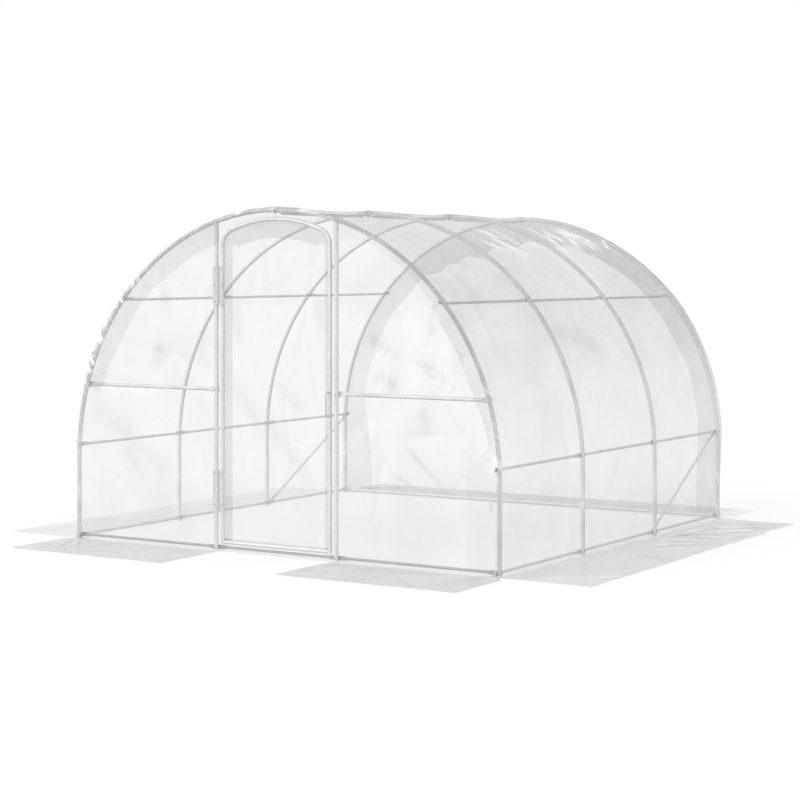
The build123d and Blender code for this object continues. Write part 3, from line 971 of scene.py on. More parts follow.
# Single creases of the upright end films, by X and Z: grey patches and lines that are painted fold shade, and
# white lines (gleams) that are painted highlights.
RIGHT_FOLD_SHADE = folds(
    (1.193, 0.975, 1.213, 1.040, 0.011, 0.002), (1.375, 0.665, 1.450, 0.605, 0.016, 0.003),
    (1.444, 0.430, 1.444, 0.330, 0.012, 0.002), (1.245, 0.545, 1.325, 0.510, 0.012, 0.002),
    (0.80, 1.12, 0.94, 1.01, 0.050, 0.004), (1.04, 1.36, 1.09, 1.29, 0.032, 0.003),
    (0.98, 0.93, 1.06, 0.72, 0.040, 0.003),
)
RIGHT_GLEAMS = folds(
    (1.015, 1.56, 1.170, 1.31, 0.009, 0.003), (1.150, 1.34, 1.250, 1.19, 0.009, 0.003),
    (1.235, 1.23, 1.300, 1.13, 0.009, 0.003), (1.030, 1.255, 1.185, 1.278, 0.009, 0.002),
    (0.895, 1.130, 0.970, 1.090, 0.010, 0.002), (0.950, 1.100, 1.040, 1.104, 0.009, 0.002),
    (1.020, 1.088, 1.120, 1.092, 0.010, 0.002), (1.150, 1.125, 1.162, 1.060, 0.009, 0.002),
    (1.050, 1.030, 1.135, 1.035, 0.018, 0.003), (0.769, 1.115, 0.769, 0.995, 0.008, 0.002),
    (1.395, 0.885, 1.446, 0.705, 0.009, 0.002), (1.425, 0.905, 1.462, 0.800, 0.008, 0.002),
)
LEFT_FOLD_SHADE = folds(
    (0.84, 1.53, 0.74, 1.44, 0.045, 0.003), (0.90, 1.20, 0.80, 1.08, 0.060, 0.004),
    (0.549, 1.575, 0.470, 1.490, 0.010, 0.002),
)
BACK_FOLD_SHADE = folds(
    (-1.02, 0.42, -0.54, -0.04, 0.016, 0.002), (-1.12, 0.17, -0.70, -0.03, 0.016, 0.002),
    (-1.36, 1.18, -0.92, 0.96, 0.055, 0.004), (-1.02, 1.02, -0.58, 0.84, 0.050, 0.004),
    (-1.22, 0.92, -1.00, 0.74, 0.045, 0.003), (0.20, 1.30, 0.70, 1.05, 0.060, 0.004),
)
BACK_GLEAMS = folds(
    (1.08, 0.092, 1.24, 0.080, 0.009, 0.003), (1.18, 0.066, 1.33, 0.070, 0.009, 0.003),
    (1.28, 0.095, 1.41, 0.064, 0.009, 0.003), (1.34, 0.060, 1.47, 0.085, 0.009, 0.003),
    (1.22, 0.105, 1.36, 0.100, 0.008, 0.002),
)


@dataclass
class EndFilm:
    """A flat film over an end, or over one side of the doorway, that turns out onto the ground at its foot.

    Args:
        material: The film.
        name: The piece's name.
        end: Which end it closes.
        low_x: Its edge nearer the middle, or its left edge at the back.
        nodes: The CAD nodes that it stands for.
        marks: Single creases whose painted shade shows as grey patches and lines; they are not put into the
            mesh.
        gleams: Single creases that stand up and are painted with white highlight lines.
        haze: How much one layer hides.
        laid_haze: How much the film on the ground hides.
        seed: Picks its wrinkles.
        mirror: -1 where it is built on the right and turned to the left.
        high_x: Its outer edge.
        foot_x: Where its edge lies on the ground.
        rim: Radius of its rounded top.
        tall: Height of the cut sheet, from the ground to its top; not used.
        laid_out: How much of the cut sheet lies on the ground; not used.
        rows: Rows of the upright part.
        turns: Rows of the turn at its foot.
    """

    material: Finish
    name: str
    end: End
    low_x: float
    nodes: tuple[str, ...]
    marks: tuple[Fold, ...]
    gleams: tuple[Fold, ...] = ()
    haze: float = 0.095
    laid_haze: float = 0.34
    seed: int = 50
    mirror: int = 1
    high_x: float = 1.498
    foot_x: float = 1.541
    rim: float = FILM_RADIUS - 0.0035
    tall: float = 2.02
    laid_out: float = 0.55
    rows: int = 190
    turns: int = 4

    @property
    def whole(self) -> bool:
        """Whether it closes the whole end."""
        return self.low_x < 0.0

    def columns(self) -> Grid:
        """Places across the film in metres, closer together towards the legs."""
        turn = np.linspace(math.asin(self.low_x / self.high_x), QUARTER, 181 if self.whole else 140)
        return np.sin(turn) * self.high_x

    def creases(self, x: Grid, z: Grid) -> tuple[Grid, Grid, Grid]:
        """Creases of the upright film.

        Args:
            x: Place across, for each point.
            z: Height, for each point.

        Returns:
            Height in metres, shade and no glint.
        """
        wide = 2 if self.whole else 1
        low, high, seed = (self.low_x, 0.1), (self.high_x, 1.7), self.seed
        broad = FoldField(
            seed + 3, 9 * wide, low, high, (0.3, 0.9), (0.025, 0.055), (0.002, 0.006), 60.0, 60.0, 0.7
        )
        mid = FoldField(
            seed + 4, 20 * wide, low, high, (0.08, 0.28), (0.012, 0.02), (0.001, 0.003), 40.0, 90.0, 0.5
        )
        return read_fields((broad, mid), x, z)

    def laid_folds(self, x: Grid, out: Grid) -> tuple[Grid, Grid]:
        """Creases on the ground: some strewn, and a fan from each leg's foot.

        Args:
            x: Place across, for each point.
            out: Distance out from the end, for each point.

        Returns:
            Height in metres, and shade.
        """
        low, high = (self.low_x, 0.05), (self.high_x, 0.5)
        strewn = FoldField(
            self.seed + 5, 7, low, high, (0.2, 0.5), (0.04, 0.07), (0.001, 0.003), 20.0, 60.0, 0.3
        )
        height, shade, _ = read_fields((strewn,), x, out)
        for side in (-1, 1) if self.whole else (1,):
            foot = side * 1.47
            for number in range(4 if self.mirror < 0 else 2):
                turn = math.radians(90.0 + side * (6.0 + 15.0 * number))
                reach = 0.22 + 0.09 * ((number * 7) % 4)
                end = (foot + reach * math.cos(turn), reach * math.sin(turn))
                fold = Fold((foot - 0.12 * math.cos(turn), -0.12 * math.sin(turn)), end, 0.022, 0.009)
                rise, flank = fold.read(x, out)
                height = np.maximum(height, rise)
                shade = shade + 0.7 * flank
        return height, np.clip(shade, -1.0, 1.0)

    def net(self, across: Grid, top: Grid) -> tuple[Grid, Grid]:
        """Lays out the smooth film: the upright part, the turn at its foot and the part on the ground.

        Args:
            across: The columns' places.
            top: The height of each column.

        Returns:
            Points, with Y counted outward from the end, and places on the cut sheet.
        """
        foot = GROUND_Z + FOLD_RADIUS
        none = np.zeros_like(across)
        net, flat = [], []
        for part in np.linspace(1.0, 0.0, self.rows):
            z = foot + part * (top - foot)
            net.append(np.stack([across, none, z], -1))
            flat.append(np.stack([across, z], -1))
        for angle in np.linspace(0.0, QUARTER, self.turns + 1)[1:]:
            out, z = FOLD_RADIUS * (1.0 - math.cos(angle)), foot - FOLD_RADIUS * math.sin(angle)
            net.append(np.stack([across, none + out, none + z], -1))
            flat.append(np.stack([across, none + foot - FOLD_RADIUS * angle], -1))
        spread = (across - across[0]) / (across[-1] - across[0])
        edge = -self.foot_x if self.whole else self.low_x - 0.022
        for step in np.linspace(0.0, SKIRT_EDGE_Y - END_FILM_Y - FOLD_RADIUS, 42)[1:]:
            x = across + min(1.0, step / 0.05) * (edge + spread * (self.foot_x - edge) - across)
            net.append(np.stack([x, none + FOLD_RADIUS + step, none + GROUND_Z], -1))
            flat.append(np.stack([x, none + foot - FOLD_RADIUS * QUARTER - step], -1))
        return np.array(net), np.array(flat)

    def build(self) -> Piece:
        """Builds the sheet, hangs it on the tunnel's body and hides the CAD nodes that it stands for.

        Returns:
            The finished piece.
        """
        across = self.columns()
        top = LEG_HEIGHT + np.sqrt(np.maximum(self.rim**2 - across**2, 0.0))
        points, flat = self.net(across, top)
        up, ground = slice(0, self.rows), slice(self.rows + self.turns - 1, None)
        x, z = points[up, :, 0], points[up, :, 2]
        ground_x, ground_y = points[ground, :, 0], points[ground, :, 1]
        to_rim = np.minimum(np.sqrt(np.maximum(top - z, 0.0) ** 2 + 1e-9), self.high_x - np.abs(x))
        slack = smooth_step(0.0, 0.16, to_rim) * smooth_step(0.02, 0.18, z)
        if not self.whole:
            slack = slack * smooth_step(0.0, 0.10, x - self.low_x)
        rise, flank, _ = self.creases(x, z)
        soft = Ripple(self.seed).at(x * 2.1, z * 1.6) * 0.011
        soft = soft + Ripple(self.seed + 1).at(x * 6.0 + z, z * 1.7) * 0.005
        height = slack * (soft + rise)
        laid, laid_shade = self.laid_folds(ground_x, ground_y)
        shade = np.zeros(points.shape[:2])
        shade[up] = slack * flank
        shade[ground] = laid_shade
        patchy = Ripple(self.seed + 7).at(flat[..., 0] * 2.7, flat[..., 1] * 2.3)
        patchy += 0.6 * Ripple(self.seed + 8).at(flat[..., 0] * 6.1, flat[..., 1] * 5.3)
        # Painted shade: crease flanks darken or lighten the film, upright and on the ground.
        body = self.haze * (1.0 + 0.9 * patchy - 0.7 * np.clip(shade, -1.0, 1.0))
        body[ground] = self.laid_haze * (1.0 + 0.05 * patchy - 0.3 * shade)[ground]
        if self.whole:
            body[ground] *= 1.0 - 0.55 * smooth_step(1.25, 1.5, ground_x)
        # Painted shade: each listed crease darkens the film in a grey patch or line, with no crease in the
        # mesh.
        for shaded_fold in self.marks:
            body[up] *= 1.0 + 1.8 * shaded_fold.read(x, z)[0] / shaded_fold.height
        # Painted highlights: white on one flank of each crease and along the listed white lines.
        shine = 0.10 * np.clip(shade, 0.0, 1.0)
        for gleam in self.gleams:
            stand = gleam.read(x, z)[0]
            height = np.maximum(height, stand)
            shine[up] = np.maximum(shine[up], 0.6 * stand / gleam.height)
        shine[ground] = 0.35 * np.clip(laid_shade - 0.3, 0.0, 1.0)
        points[up, :, 1] += height + tented(x, z)
        points[ground, :, 2] += SKIRT_LIFT + laid
        points[..., 1] = self.end.value * (END_FILM_Y + points[..., 1])
        points[..., 0] *= self.mirror
        flat[..., 0] *= self.mirror
        turned = (self.end is End.FRONT) == (self.mirror > 0)
        piece = film_object(self.name, [FilmPatch(points, flat, body, shine)], self.material, flip=not turned)
        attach(piece, "tunnel")
        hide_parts(*self.nodes)
        return piece


class Walk:
    """A line drawn piece by piece, each without its last point, and the outward direction at each point."""

    def __init__(self) -> None:
        """Starts with no points."""
        self.places: list[Spot] = []
        self.outs: list[Spot] = []

    def arc(self, centre: Spot, radius: float, start: float, stop: float, count: int) -> None:
        """Adds an arc.

        Args:
            centre: Its centre.
            radius: Its radius.
            start: The angle it starts at, in radians.
            stop: The angle it ends at.
            count: How many points it has.
        """
        for angle in np.linspace(start, stop, count, endpoint=False):
            out = (math.cos(angle), math.sin(angle))
            self.places.append((centre[0] + radius * out[0], centre[1] + radius * out[1]))
            self.outs.append(out)

    def line(self, first: Spot, last: Spot, out: Spot, count: int) -> None:
        """Adds a straight run.

        Args:
            first: Where it starts.
            last: Where it ends.
            out: The outward direction.
            count: How many points it has.
        """
        for part in np.linspace(0.0, 1.0, count, endpoint=False):
            self.places.append(tuple(a + (b - a) * part for a, b in zip(first, last)))
            self.outs.append(out)


@dataclass
class DoorFilm:
    """The door's film: stretched over the front of its frame and turned round the tube to a hem behind.

    Args:
        material: The film.
        half_width: From the middle to the stiles' axis.
        low_z: The bottom rail's axis.
        top_z: The head tube's axis at its highest.
        corner: Radius of the lower corners.
        shoulder: Radius of the shoulders.
        crown: Radius of the head.
        left_hem: Width of the hem on the hinge side.
        right_hem: Width of the hem on the free side.
        top_hem: Width of the hem under the head.
        foot_hem: Width of the hem at the bottom.
        haze: How much one layer hides.
    """

    material: Finish
    half_width: float = STILE_X
    low_z: float = 0.055
    top_z: float = 1.952
    corner: float = 0.004
    shoulder: float = 0.100
    crown: float = 0.850
    left_hem: float = 0.064
    right_hem: float = 0.045
    top_hem: float = 0.110
    foot_hem: float = 0.018
    haze: float = 0.085

    def outline(self) -> tuple[Grid, Grid]:
        """Walks round the tube's axis from the middle of the bottom rail, up the left side first.

        Returns:
            Places as x and z, and outward directions.
        """
        centre_z = self.top_z - self.crown
        across = self.half_width - self.shoulder
        shoulder_z = centre_z + math.sqrt((self.crown - self.shoulder) ** 2 - across**2)
        lean = math.atan2(shoulder_z - centre_z, across)
        half, low, corner = self.half_width, self.low_z, self.corner
        walk = Walk()
        walk.line((0.0, low), (-half + corner, low), (0.0, -1.0), 20)
        walk.arc((-half + corner, low + corner), corner, -QUARTER, -math.pi, 6)
        walk.line((-half, low + corner), (-half, shoulder_z), (-1.0, 0.0), 86)
        walk.arc((-across, shoulder_z), self.shoulder, math.pi, math.pi - lean, 9)
        walk.arc((0.0, centre_z), self.crown, math.pi - lean, lean, 36)
        walk.arc((across, shoulder_z), self.shoulder, lean, 0.0, 9)
        walk.line((half, shoulder_z), (half, low + corner), (1.0, 0.0), 86)
        walk.arc((half - corner, low + corner), corner, 0.0, -QUARTER, 6)
        walk.line((half - corner, low), (0.0, low), (0.0, -1.0), 20)
        return np.array(walk.places + walk.places[:1]), np.array(walk.outs + walk.outs[:1])

    def hem_width(self, place: Grid, out: Grid) -> Grid:
        """How wide the hem is at each place round the door.

        Args:
            place: Places on the tube's axis.
            out: Outward directions there.

        Returns:
            Widths in metres.
        """
        up, down = np.clip(out[:, 1], 0.0, 1.0), np.clip(-out[:, 1], 0.0, 1.0)
        side = np.where(place[:, 0] < 0.0, self.left_hem, self.right_hem)
        return side * (1.0 - up) * (1.0 - down) + self.top_hem * up + self.foot_hem * down

    def build(self) -> Piece:
        """Builds the sheet, hangs it on the door's body and hides the CAD door film.

        Returns:
            The finished piece.
        """
        low, high = (-0.34, 0.2), (0.34, 1.7)
        creases = (
            FoldField(76, 9, low, high, (0.4, 1.2), (0.018, 0.035), (0.002, 0.005), 90.0, 14.0, 0.6),
            FoldField(77, 12, low, high, (0.15, 0.5), (0.014, 0.03), (0.001, 0.004), -50.0, 25.0, 0.7),
        )
        place, out = self.outline()
        front = END_FILM_Y - END_Y
        none = np.zeros(len(place))
        spine = np.stack([none, np.clip(place[:, 1], self.low_z + 0.36, self.top_z - 0.36)], -1)
        net, flat, haze, glint = [], [], [], []
        for part in np.linspace(0.0, 1.0, 22):
            spot = spine + (place - spine) * part
            x, z = spot[:, 0], spot[:, 1]
            slack = smooth_step(0.0, 0.35, 1.0 - part)
            rise, flank, _ = read_fields(creases, x, z)
            soft = Ripple(71).at(x * 9.0, z * 1.1) * 0.005 + Ripple(72).at(x * 3.0, z * 2.0) * 0.006
            shade = np.clip(slack * flank, -1.0, 1.0)
            net.append(np.stack([x, -(END_FILM_Y + slack * (soft + rise)), z], -1))
            flat.append(spot)
            # Painted shade and highlight: the door film's crease flanks darken or lighten it, and one flank is
            # painted white.
            haze.append(self.haze * (1.0 + 0.5 * Ripple(78).at(x * 4.0, z * 2.2) - 0.5 * shade))
            glint.append(0.08 * np.clip(shade, 0.0, 1.0))
        for angle in np.linspace(0.0, math.pi, 9)[1:]:
            spot = place + out * front * math.sin(angle)
            net.append(np.stack([spot[:, 0], none - END_Y - front * math.cos(angle), spot[:, 1]], -1))
            flat.append(place + out * front * angle)
            haze.append(none + self.haze)
            glint.append(none)
        hem = self.hem_width(place, out)
        for part in np.linspace(0.0, 1.0, 8)[1:]:
            spot = place - out * (hem * part)[:, None]
            wave = Ripple(75).line(np.arange(len(place)) * 0.35, part * 1.5) * 0.002 * part
            net.append(np.stack([spot[:, 0], -END_Y + front + np.abs(wave), spot[:, 1]], -1))
            flat.append(place + out * (front * math.pi + hem * part)[:, None])
            haze.append(none + self.haze * 3.1)
            glint.append(none)
        patch = FilmPatch(*(np.array(rows) for rows in (net, flat, haze, glint)))
        piece = film_object("film_door", [patch], self.material, flip=True)
        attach(piece, "door")
        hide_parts("door_film")
        return piece


def upward(middle: Vector, normal: Vector) -> bool:
    """Says yes to a face that looks up, wherever its middle is."""
    return normal.z > 0.9


def deselect_all() -> None:
    """Deselects everything, CAD nodes too."""
    bpy.ops.object.select_all(action="DESELECT")


class Shaping:
    """Steps by hand on one new mesh: pick faces, then inset, extrude or cut, and round the edges."""

    def __init__(self, name: str, material: Finish) -> None:
        """Takes over the primitive that was just added.

        Args:
            name: The piece's name.
            material: Its finish.
        """
        self.piece = bpy.context.object
        self.piece.name = name
        self.piece.data.name = name
        self.piece.data.materials.append(material)
        bpy.ops.object.transform_apply(location=True, rotation=True, scale=True)

    @classmethod
    def cylinder(
        cls,
        name: str,
        material: Finish,
        sides: int,
        radius: float,
        depth: float,
        low: float = 0.0,
        ends: str = "NGON",
    ) -> "Shaping":
        """Starts from an upright cylinder.

        Args:
            name: The piece's name.
            material: Its finish.
            sides: How many sides it has.
            radius: Its radius.
            depth: Its length.
            low: The height it stands on.
            ends: How its ends are closed.

        Returns:
            The mesh to shape.
        """
        deselect_all()
        bpy.ops.mesh.primitive_cylinder_add(
            vertices=sides, radius=radius, depth=depth, end_fill_type=ends,
            location=(0.0, 0.0, low + depth / 2.0),
        )
        return cls(name, material)

    def pick(self, test: Callable[[Vector, Vector], bool]) -> None:
        """Goes to edit mode and selects faces.

        Args:
            test: Says yes to a face by its middle and its normal.
        """
        if self.piece.mode != "EDIT":
            bpy.ops.object.mode_set(mode="EDIT")
        bpy.ops.mesh.select_mode(type="FACE")
        net = bmesh.from_edit_mesh(self.piece.data)
        for face in net.faces:
            face.select_set(False)
        for face in net.faces:
            if test(face.calc_center_median(), face.normal):
                face.select_set(True)
        bmesh.update_edit_mesh(self.piece.data)

    @staticmethod
    def inset(thickness: float, depth: float = 0.0) -> None:
        """Insets the picked faces, in metres."""
        bpy.ops.mesh.inset(thickness=thickness, depth=depth)

    @staticmethod
    def extrude(z: float) -> None:
        """Extrudes the picked faces along Z, in metres."""
        bpy.ops.mesh.extrude_region_move(TRANSFORM_OT_translate={"value": (0.0, 0.0, z)})

    @staticmethod
    def cut(place: Place, normal: Place) -> None:
        """Cuts the whole mesh along a plane, without removing anything."""
        bpy.ops.mesh.select_all(action="SELECT")
        bpy.ops.mesh.bisect(plane_co=place, plane_no=normal, clear_inner=False, clear_outer=False)

    def modify(self, kind: str, **settings: object) -> None:
        """Adds a modifier in object mode and applies it.

        Args:
            kind: The modifier's type.
            settings: Its settings.
        """
        if self.piece.mode == "EDIT":
            bpy.ops.object.mode_set(mode="OBJECT")
        modifier = self.piece.modifiers.new(kind.lower(), kind)
        for key, value in settings.items():
            setattr(modifier, key, value)
        bpy.context.view_layer.objects.active = self.piece
        bpy.ops.object.modifier_apply(modifier=modifier.name)

    def bevel(self, width: float) -> None:
        """Rounds the sharp edges to a width in metres."""
        self.modify("BEVEL", width=width, segments=2, angle_limit=math.radians(35.0))

    def done(self) -> Piece:
        """Leaves edit mode and smooths the faces.

        Returns:
            The finished piece.
        """
        if self.piece.mode == "EDIT":
            bpy.ops.object.mode_set(mode="OBJECT")
        deselect_all()
        self.piece.select_set(True)
        bpy.context.view_layer.objects.active = self.piece
        bpy.ops.object.shade_smooth_by_angle(angle=math.radians(32.0))
        self.piece.select_set(False)
        return self.piece


def joined(name: str, parts: list[Piece]) -> Piece:
    """Joins parts that are made as one fastener.

    Args:
        name: The whole's name.
        parts: The parts, the first of which takes in the rest.

    Returns:
        The whole.
    """
    deselect_all()
    for part in parts:
        part.select_set(True)
    bpy.context.view_layer.objects.active = parts[0]
    bpy.ops.object.join()
    parts[0].name = name
    parts[0].select_set(False)
    return parts[0]


def copies(master: Piece, spots: dict[str, Matrix], body: str) -> list[Piece]:
    """Puts a copy of a fastener at each place, with its own mesh, and removes the master.

    Args:
        master: The fastener, modelled at the origin.
        spots: Where each copy goes, by name.
        body: The body they ride on.

    Returns:
        The copies.
    """
    found = []
    for name, spot in spots.items():
        mesh = master.data.copy()
        mesh.name = name
        mesh.transform(spot)
        piece = bpy.data.objects.new(name, mesh)
        bpy.context.collection.objects.link(piece)
        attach(piece, body)
        found.append(piece)
    bpy.data.objects.remove(master)
    return found


def facing(place: Place, toward: Place, spin: float = 0.0) -> Matrix:
    """A place whose Z points a given way, spun about it in degrees."""
    turn = Vector(toward).to_track_quat("Z", "Y").to_matrix().to_4x4()
    return Matrix.Translation(place) @ turn @ Matrix.Rotation(math.radians(spin), 4, "Z")


@dataclass
class TubeBolts:
    """Bolts through the hoops and posts: a domed head outside, a washer and nut on the flat tube ends.

    Args:
        material: The zinc.
        thread: Radius of the bolt.
        nut: Radius to the nut's corners.
        nut_height: Height of the nut.
        washer: Radius of the washer and of the domed head.
        washer_height: Height of the washer.
        lap: What one flat end adds to the stack.
    """

    material: Finish
    thread: float = 0.0030
    nut: float = 0.0058
    nut_height: float = 0.0050
    washer: float = 0.0068
    washer_height: float = 0.0012
    lap: float = 0.0027

    def nut_end(self) -> Piece:
        """Models the washer, the nut and the end of the thread, standing on Z = 0.

        Returns:
            The master.
        """
        nut = Shaping.cylinder("nut", self.material, 6, self.nut, self.nut_height, self.washer_height)
        nut.bevel(0.0005)
        top = self.washer_height + self.nut_height
        nut.pick(lambda middle, normal: upward(middle, normal) and middle.z > top - 0.0001)
        nut.inset((self.nut - 0.0008) * 0.86 - self.thread)
        nut.extrude(0.0022)
        nut.inset(0.0006, 0.0005)
        nut_piece = nut.done()
        ring = Shaping.cylinder("washer", self.material, 24, self.washer, self.washer_height)
        ring.pick(upward)
        ring.inset(0.0006, 0.0001)
        ring.bevel(0.0002)
        return joined("nut_end", [nut_piece, ring.done()])

    def head_end(self) -> Piece:
        """Models the domed head, standing on Z = 0.

        Returns:
            The master.
        """
        dome = Shaping.cylinder("head", self.material, 20, self.washer, 0.0008)
        dome.pick(upward)
        for thickness, rise in ((0.0008, 0.0007), (0.0013, 0.0007), (0.0017, 0.0005), (0.0016, 0.0002)):
            dome.inset(thickness, rise)
        return dome.done()

    def spots(self) -> tuple[dict[str, Matrix], dict[str, Matrix]]:
        """Lists where the nuts and heads go.

        Returns:
            Places of the nuts, and of the heads, by name.
        """
        nuts, heads = {}, {}
        for rail, height, stack in (
            ("base_rail", BASE_RAIL_Z, (2, 2, 3, 2)),
            ("mid_rail", MID_RAIL_Z, (1, 2, 2, 2)),
            ("upper_rail", UPPER_RAIL_Z, (1, 2, 2, 1)),
            ("ridge_rail", LEG_HEIGHT + SEAT_RADIUS, (1, 2, 2, 1)),
        ):
            ridge = rail == "ridge_rail"
            angle = QUARTER if ridge else math.asin(max(height - LEG_HEIGHT, 0.0) / SEAT_RADIUS)
            for hoop, (y, count) in enumerate(zip(HOOP_PLACES, stack), start=1):
                for side in Side:
                    across = 0.0 if ridge else side.value * math.cos(angle)
                    out = Vector((across, 0, math.sin(angle)))
                    seat = Vector((SEAT_RADIUS * across, y, height))
                    label = f"{rail}_{hoop}" if ridge else f"{rail}_{side.word}_{hoop}"
                    nuts[f"nut_{label}"] = facing(seat - out * count * self.lap, -out, 17.0 * hoop)
                    heads[f"head_{label}"] = facing(seat + out * (2 * HOOP_TUBE - 0.0003), out)
        seat_y, face_y = -SEAT_RADIUS + 0.0100, -END_FILM_Y - 0.0010
        hoop_x = math.sqrt(HOOP_RADIUS**2 - (END_RAIL_Z - LEG_HEIGHT) ** 2)
        for side in Side:
            for label, x, z, count, face in (
                ("sill", POST_X, BASE_RAIL_Z, 2, face_y),
                ("end_rail_post", POST_X, END_RAIL_Z, 1, face_y),
                ("end_rail_hoop", hoop_x, END_RAIL_Z, 1, face_y - 0.0028),
            ):
                place = (side.value * x, seat_y + count * self.lap, z)
                nuts[f"nut_{label}_{side.word}"] = facing(place, (0, 1, 0), 11.0)
                heads[f"head_{label}_{side.word}"] = facing((side.value * x, face, z), (0, -1, 0))
        return nuts, heads

    def build(self) -> list[Piece]:
        """Models one of each and copies it to every joint.

        Returns:
            The finished pieces.
        """
        nuts, heads = self.spots()
        made = copies(self.nut_end(), nuts, "tunnel")
        return made + copies(self.head_end(), heads, "tunnel")


@dataclass
class HingeScrews:
    """Pan-head screws with a cross recess, three in each hinge leaf.

    Args:
        material: The zinc.
        head: Radius of a screw's head.
        slot: Half the width of the recess.
        reach: Half the length of the recess.
        hinge_x: The pins' axis.
        leaf_y: Front of the leaves.
    """

    material: Finish
    head: float = 0.0042
    slot: float = 0.0005
    reach: float = 0.0022
    hinge_x: float = -0.404
    leaf_y: float = -1.4941

    def screw(self) -> Piece:
        """Models one head, standing on Z = 0.

        Returns:
            The master.
        """
        head = Shaping.cylinder("screw", self.material, 24, self.head, 0.0010)
        head.pick(upward)
        head.inset(0.0005, 0.0005)
        head.inset(0.0008, 0.0004)
        for place in (-self.reach, -self.slot, self.slot, self.reach):
            head.cut((place, 0, 0), (1, 0, 0))
            head.cut((0, place, 0), (0, 1, 0))

        def in_cross(middle: Vector, normal: Vector) -> bool:
            """Says yes to a face of the cross on top."""
            short, long = sorted((abs(middle.x), abs(middle.y)))
            return upward(middle, normal) and middle.z > 0.0012 and short < self.slot and long < self.reach

        head.pick(in_cross)
        head.extrude(-0.0011)
        return head.done()

    def build(self) -> list[Piece]:
        """Copies the screw to both leaves of both hinges.

        Returns:
            The finished pieces.
        """
        made = []
        for body, side, word in (("tunnel", -1, "post"), ("door", 1, "door")):
            spots = {}
            for hinge, base in (("lower", 0.25), ("upper", 1.45)):
                for number, rise in enumerate((0.023, 0.115, 0.207), start=1):
                    place = (self.hinge_x + side * 0.023, self.leaf_y, base + rise)
                    spots[f"screw_{word}_{hinge}_{number}"] = facing(place, (0, -1, 0), 31.0 * number)
            made += copies(self.screw(), spots, body)
        return made


@dataclass
class HandleFeet:
    """Round flanges under the two ends of the pull handle.

    Args:
        material: The zinc.
        radius: Radius of a flange.
        rod: Radius of the handle's bar.
    """

    material: Finish
    radius: float = 0.0088
    rod: float = 0.0041

    def build(self) -> list[Piece]:
        """Models one flange and copies it.

        Returns:
            The finished pieces.
        """
        flange = Shaping.cylinder("flange", self.material, 32, self.radius, 0.0014)
        flange.pick(upward)
        flange.inset(self.radius - self.rod - 0.0016)
        flange.inset(0.0014, 0.0016)
        flange.bevel(0.0003)
        spots = {}
        for word, z in (("lower", 0.829), ("upper", 0.964)):
            spots[f"handle_flange_{word}"] = facing((STILE_X, -1.4920, z), (0, -1, 0))
        return copies(flange.done(), spots, "door")


@dataclass
class LegSleeves:
    """Where each hoop's leg plugs into its bend: a slightly wider sleeve on the leg.

    Args:
        material: The zinc.
        low: Height of its lower end.
        high: Height of its upper end.
        radius: Its outer radius.
    """

    material: Finish
    low: float = 0.158
    high: float = 0.312
    radius: float = 0.01325

    def build(self) -> list[Piece]:
        """Models one sleeve and copies it to all eight legs.

        Returns:
            The finished pieces.
        """
        length = self.high - self.low
        sleeve = Shaping.cylinder("sleeve", self.material, 40, self.radius, length, ends="NOTHING")
        sleeve.modify("SOLIDIFY", thickness=self.radius - HOOP_TUBE - 0.00005, offset=-1.0)
        sleeve.bevel(0.0003)
        spots = {}
        for hoop, y in enumerate(HOOP_PLACES, start=1):
            for side in Side:
                place = (side.value * HOOP_RADIUS, y, self.low)
                spots[f"leg_sleeve_{side.word}_{hoop}"] = Matrix.Translation(place)
        return copies(sleeve.done(), spots, "tunnel")


@dataclass
class DoorWelds:
    """Weld beads where the door's bottom rail meets its stiles.

    Args:
        material: The zinc.
        rail: Radius of the bottom rail.
        rail_z: Height of its axis.
        stile: Radius of the stile.
        bead: Radius of the bead.
    """

    material: Finish
    rail: float = 0.011
    rail_z: float = 0.055
    stile: float = 0.0125
    bead: float = 0.0019

    def build(self) -> list[Piece]:
        """Models one bead round the rail, fits it to the stile and copies it.

        Returns:
            The finished pieces.
        """
        deselect_all()
        bpy.ops.mesh.primitive_torus_add(
            major_radius=self.rail + 0.0003, minor_radius=self.bead, major_segments=56, minor_segments=10
        )
        bead = Shaping("weld", self.material)
        for point in bead.piece.data.vertices:
            angle = math.atan2(point.co.y, point.co.x)
            point.co.z *= 1.0 + 0.10 * math.sin(14.0 * angle) + 0.06 * math.sin(23.0 * angle + 1.0)
            point.co.z += self.stile - math.sqrt(max(self.stile**2 - min(abs(point.co.y), 0.0118) ** 2, 0.0))
        spots = {}
        for side in Side:
            across = (0, 0, side.value, side.value * (STILE_X - self.stile))
            rows = (across, (0, 1, 0, -END_Y), (-1, 0, 0, self.rail_z), (0, 0, 0, 1))
            spots[f"weld_{side.word}"] = Matrix(rows)
        made = copies(bead.done(), spots, "door")
        for piece in made:
            net = bmesh.new()
            net.from_mesh(piece.data)
            bmesh.ops.recalc_face_normals(net, faces=net.faces)
            net.to_mesh(piece.data)
            net.free()
        return made


def dress_frame(steel: Finish, hinge_steel: Finish, low_steel: Finish) -> None:
    """Gives the CAD tubes and hinges their finishes.

    Args:
        steel: The tubes' zinc.
        hinge_steel: The hinges' and handle's zinc.
        low_steel: The darker zinc of the rails at the foot of the front.
    """
    fittings = ("hinge_leaves_post", "hinge_leaves_door", "hinge_pins", "door_handle")
    low_rails = ("door_sill", "front_base_rail_left", "front_base_rail_right")
    finishes = dict.fromkeys(fittings, hinge_steel) | dict.fromkeys(low_rails, low_steel)
    for name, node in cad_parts.items():
        if "film" not in name:
            node.data.materials.clear()
            node.data.materials.append(finishes.get(name, steel))


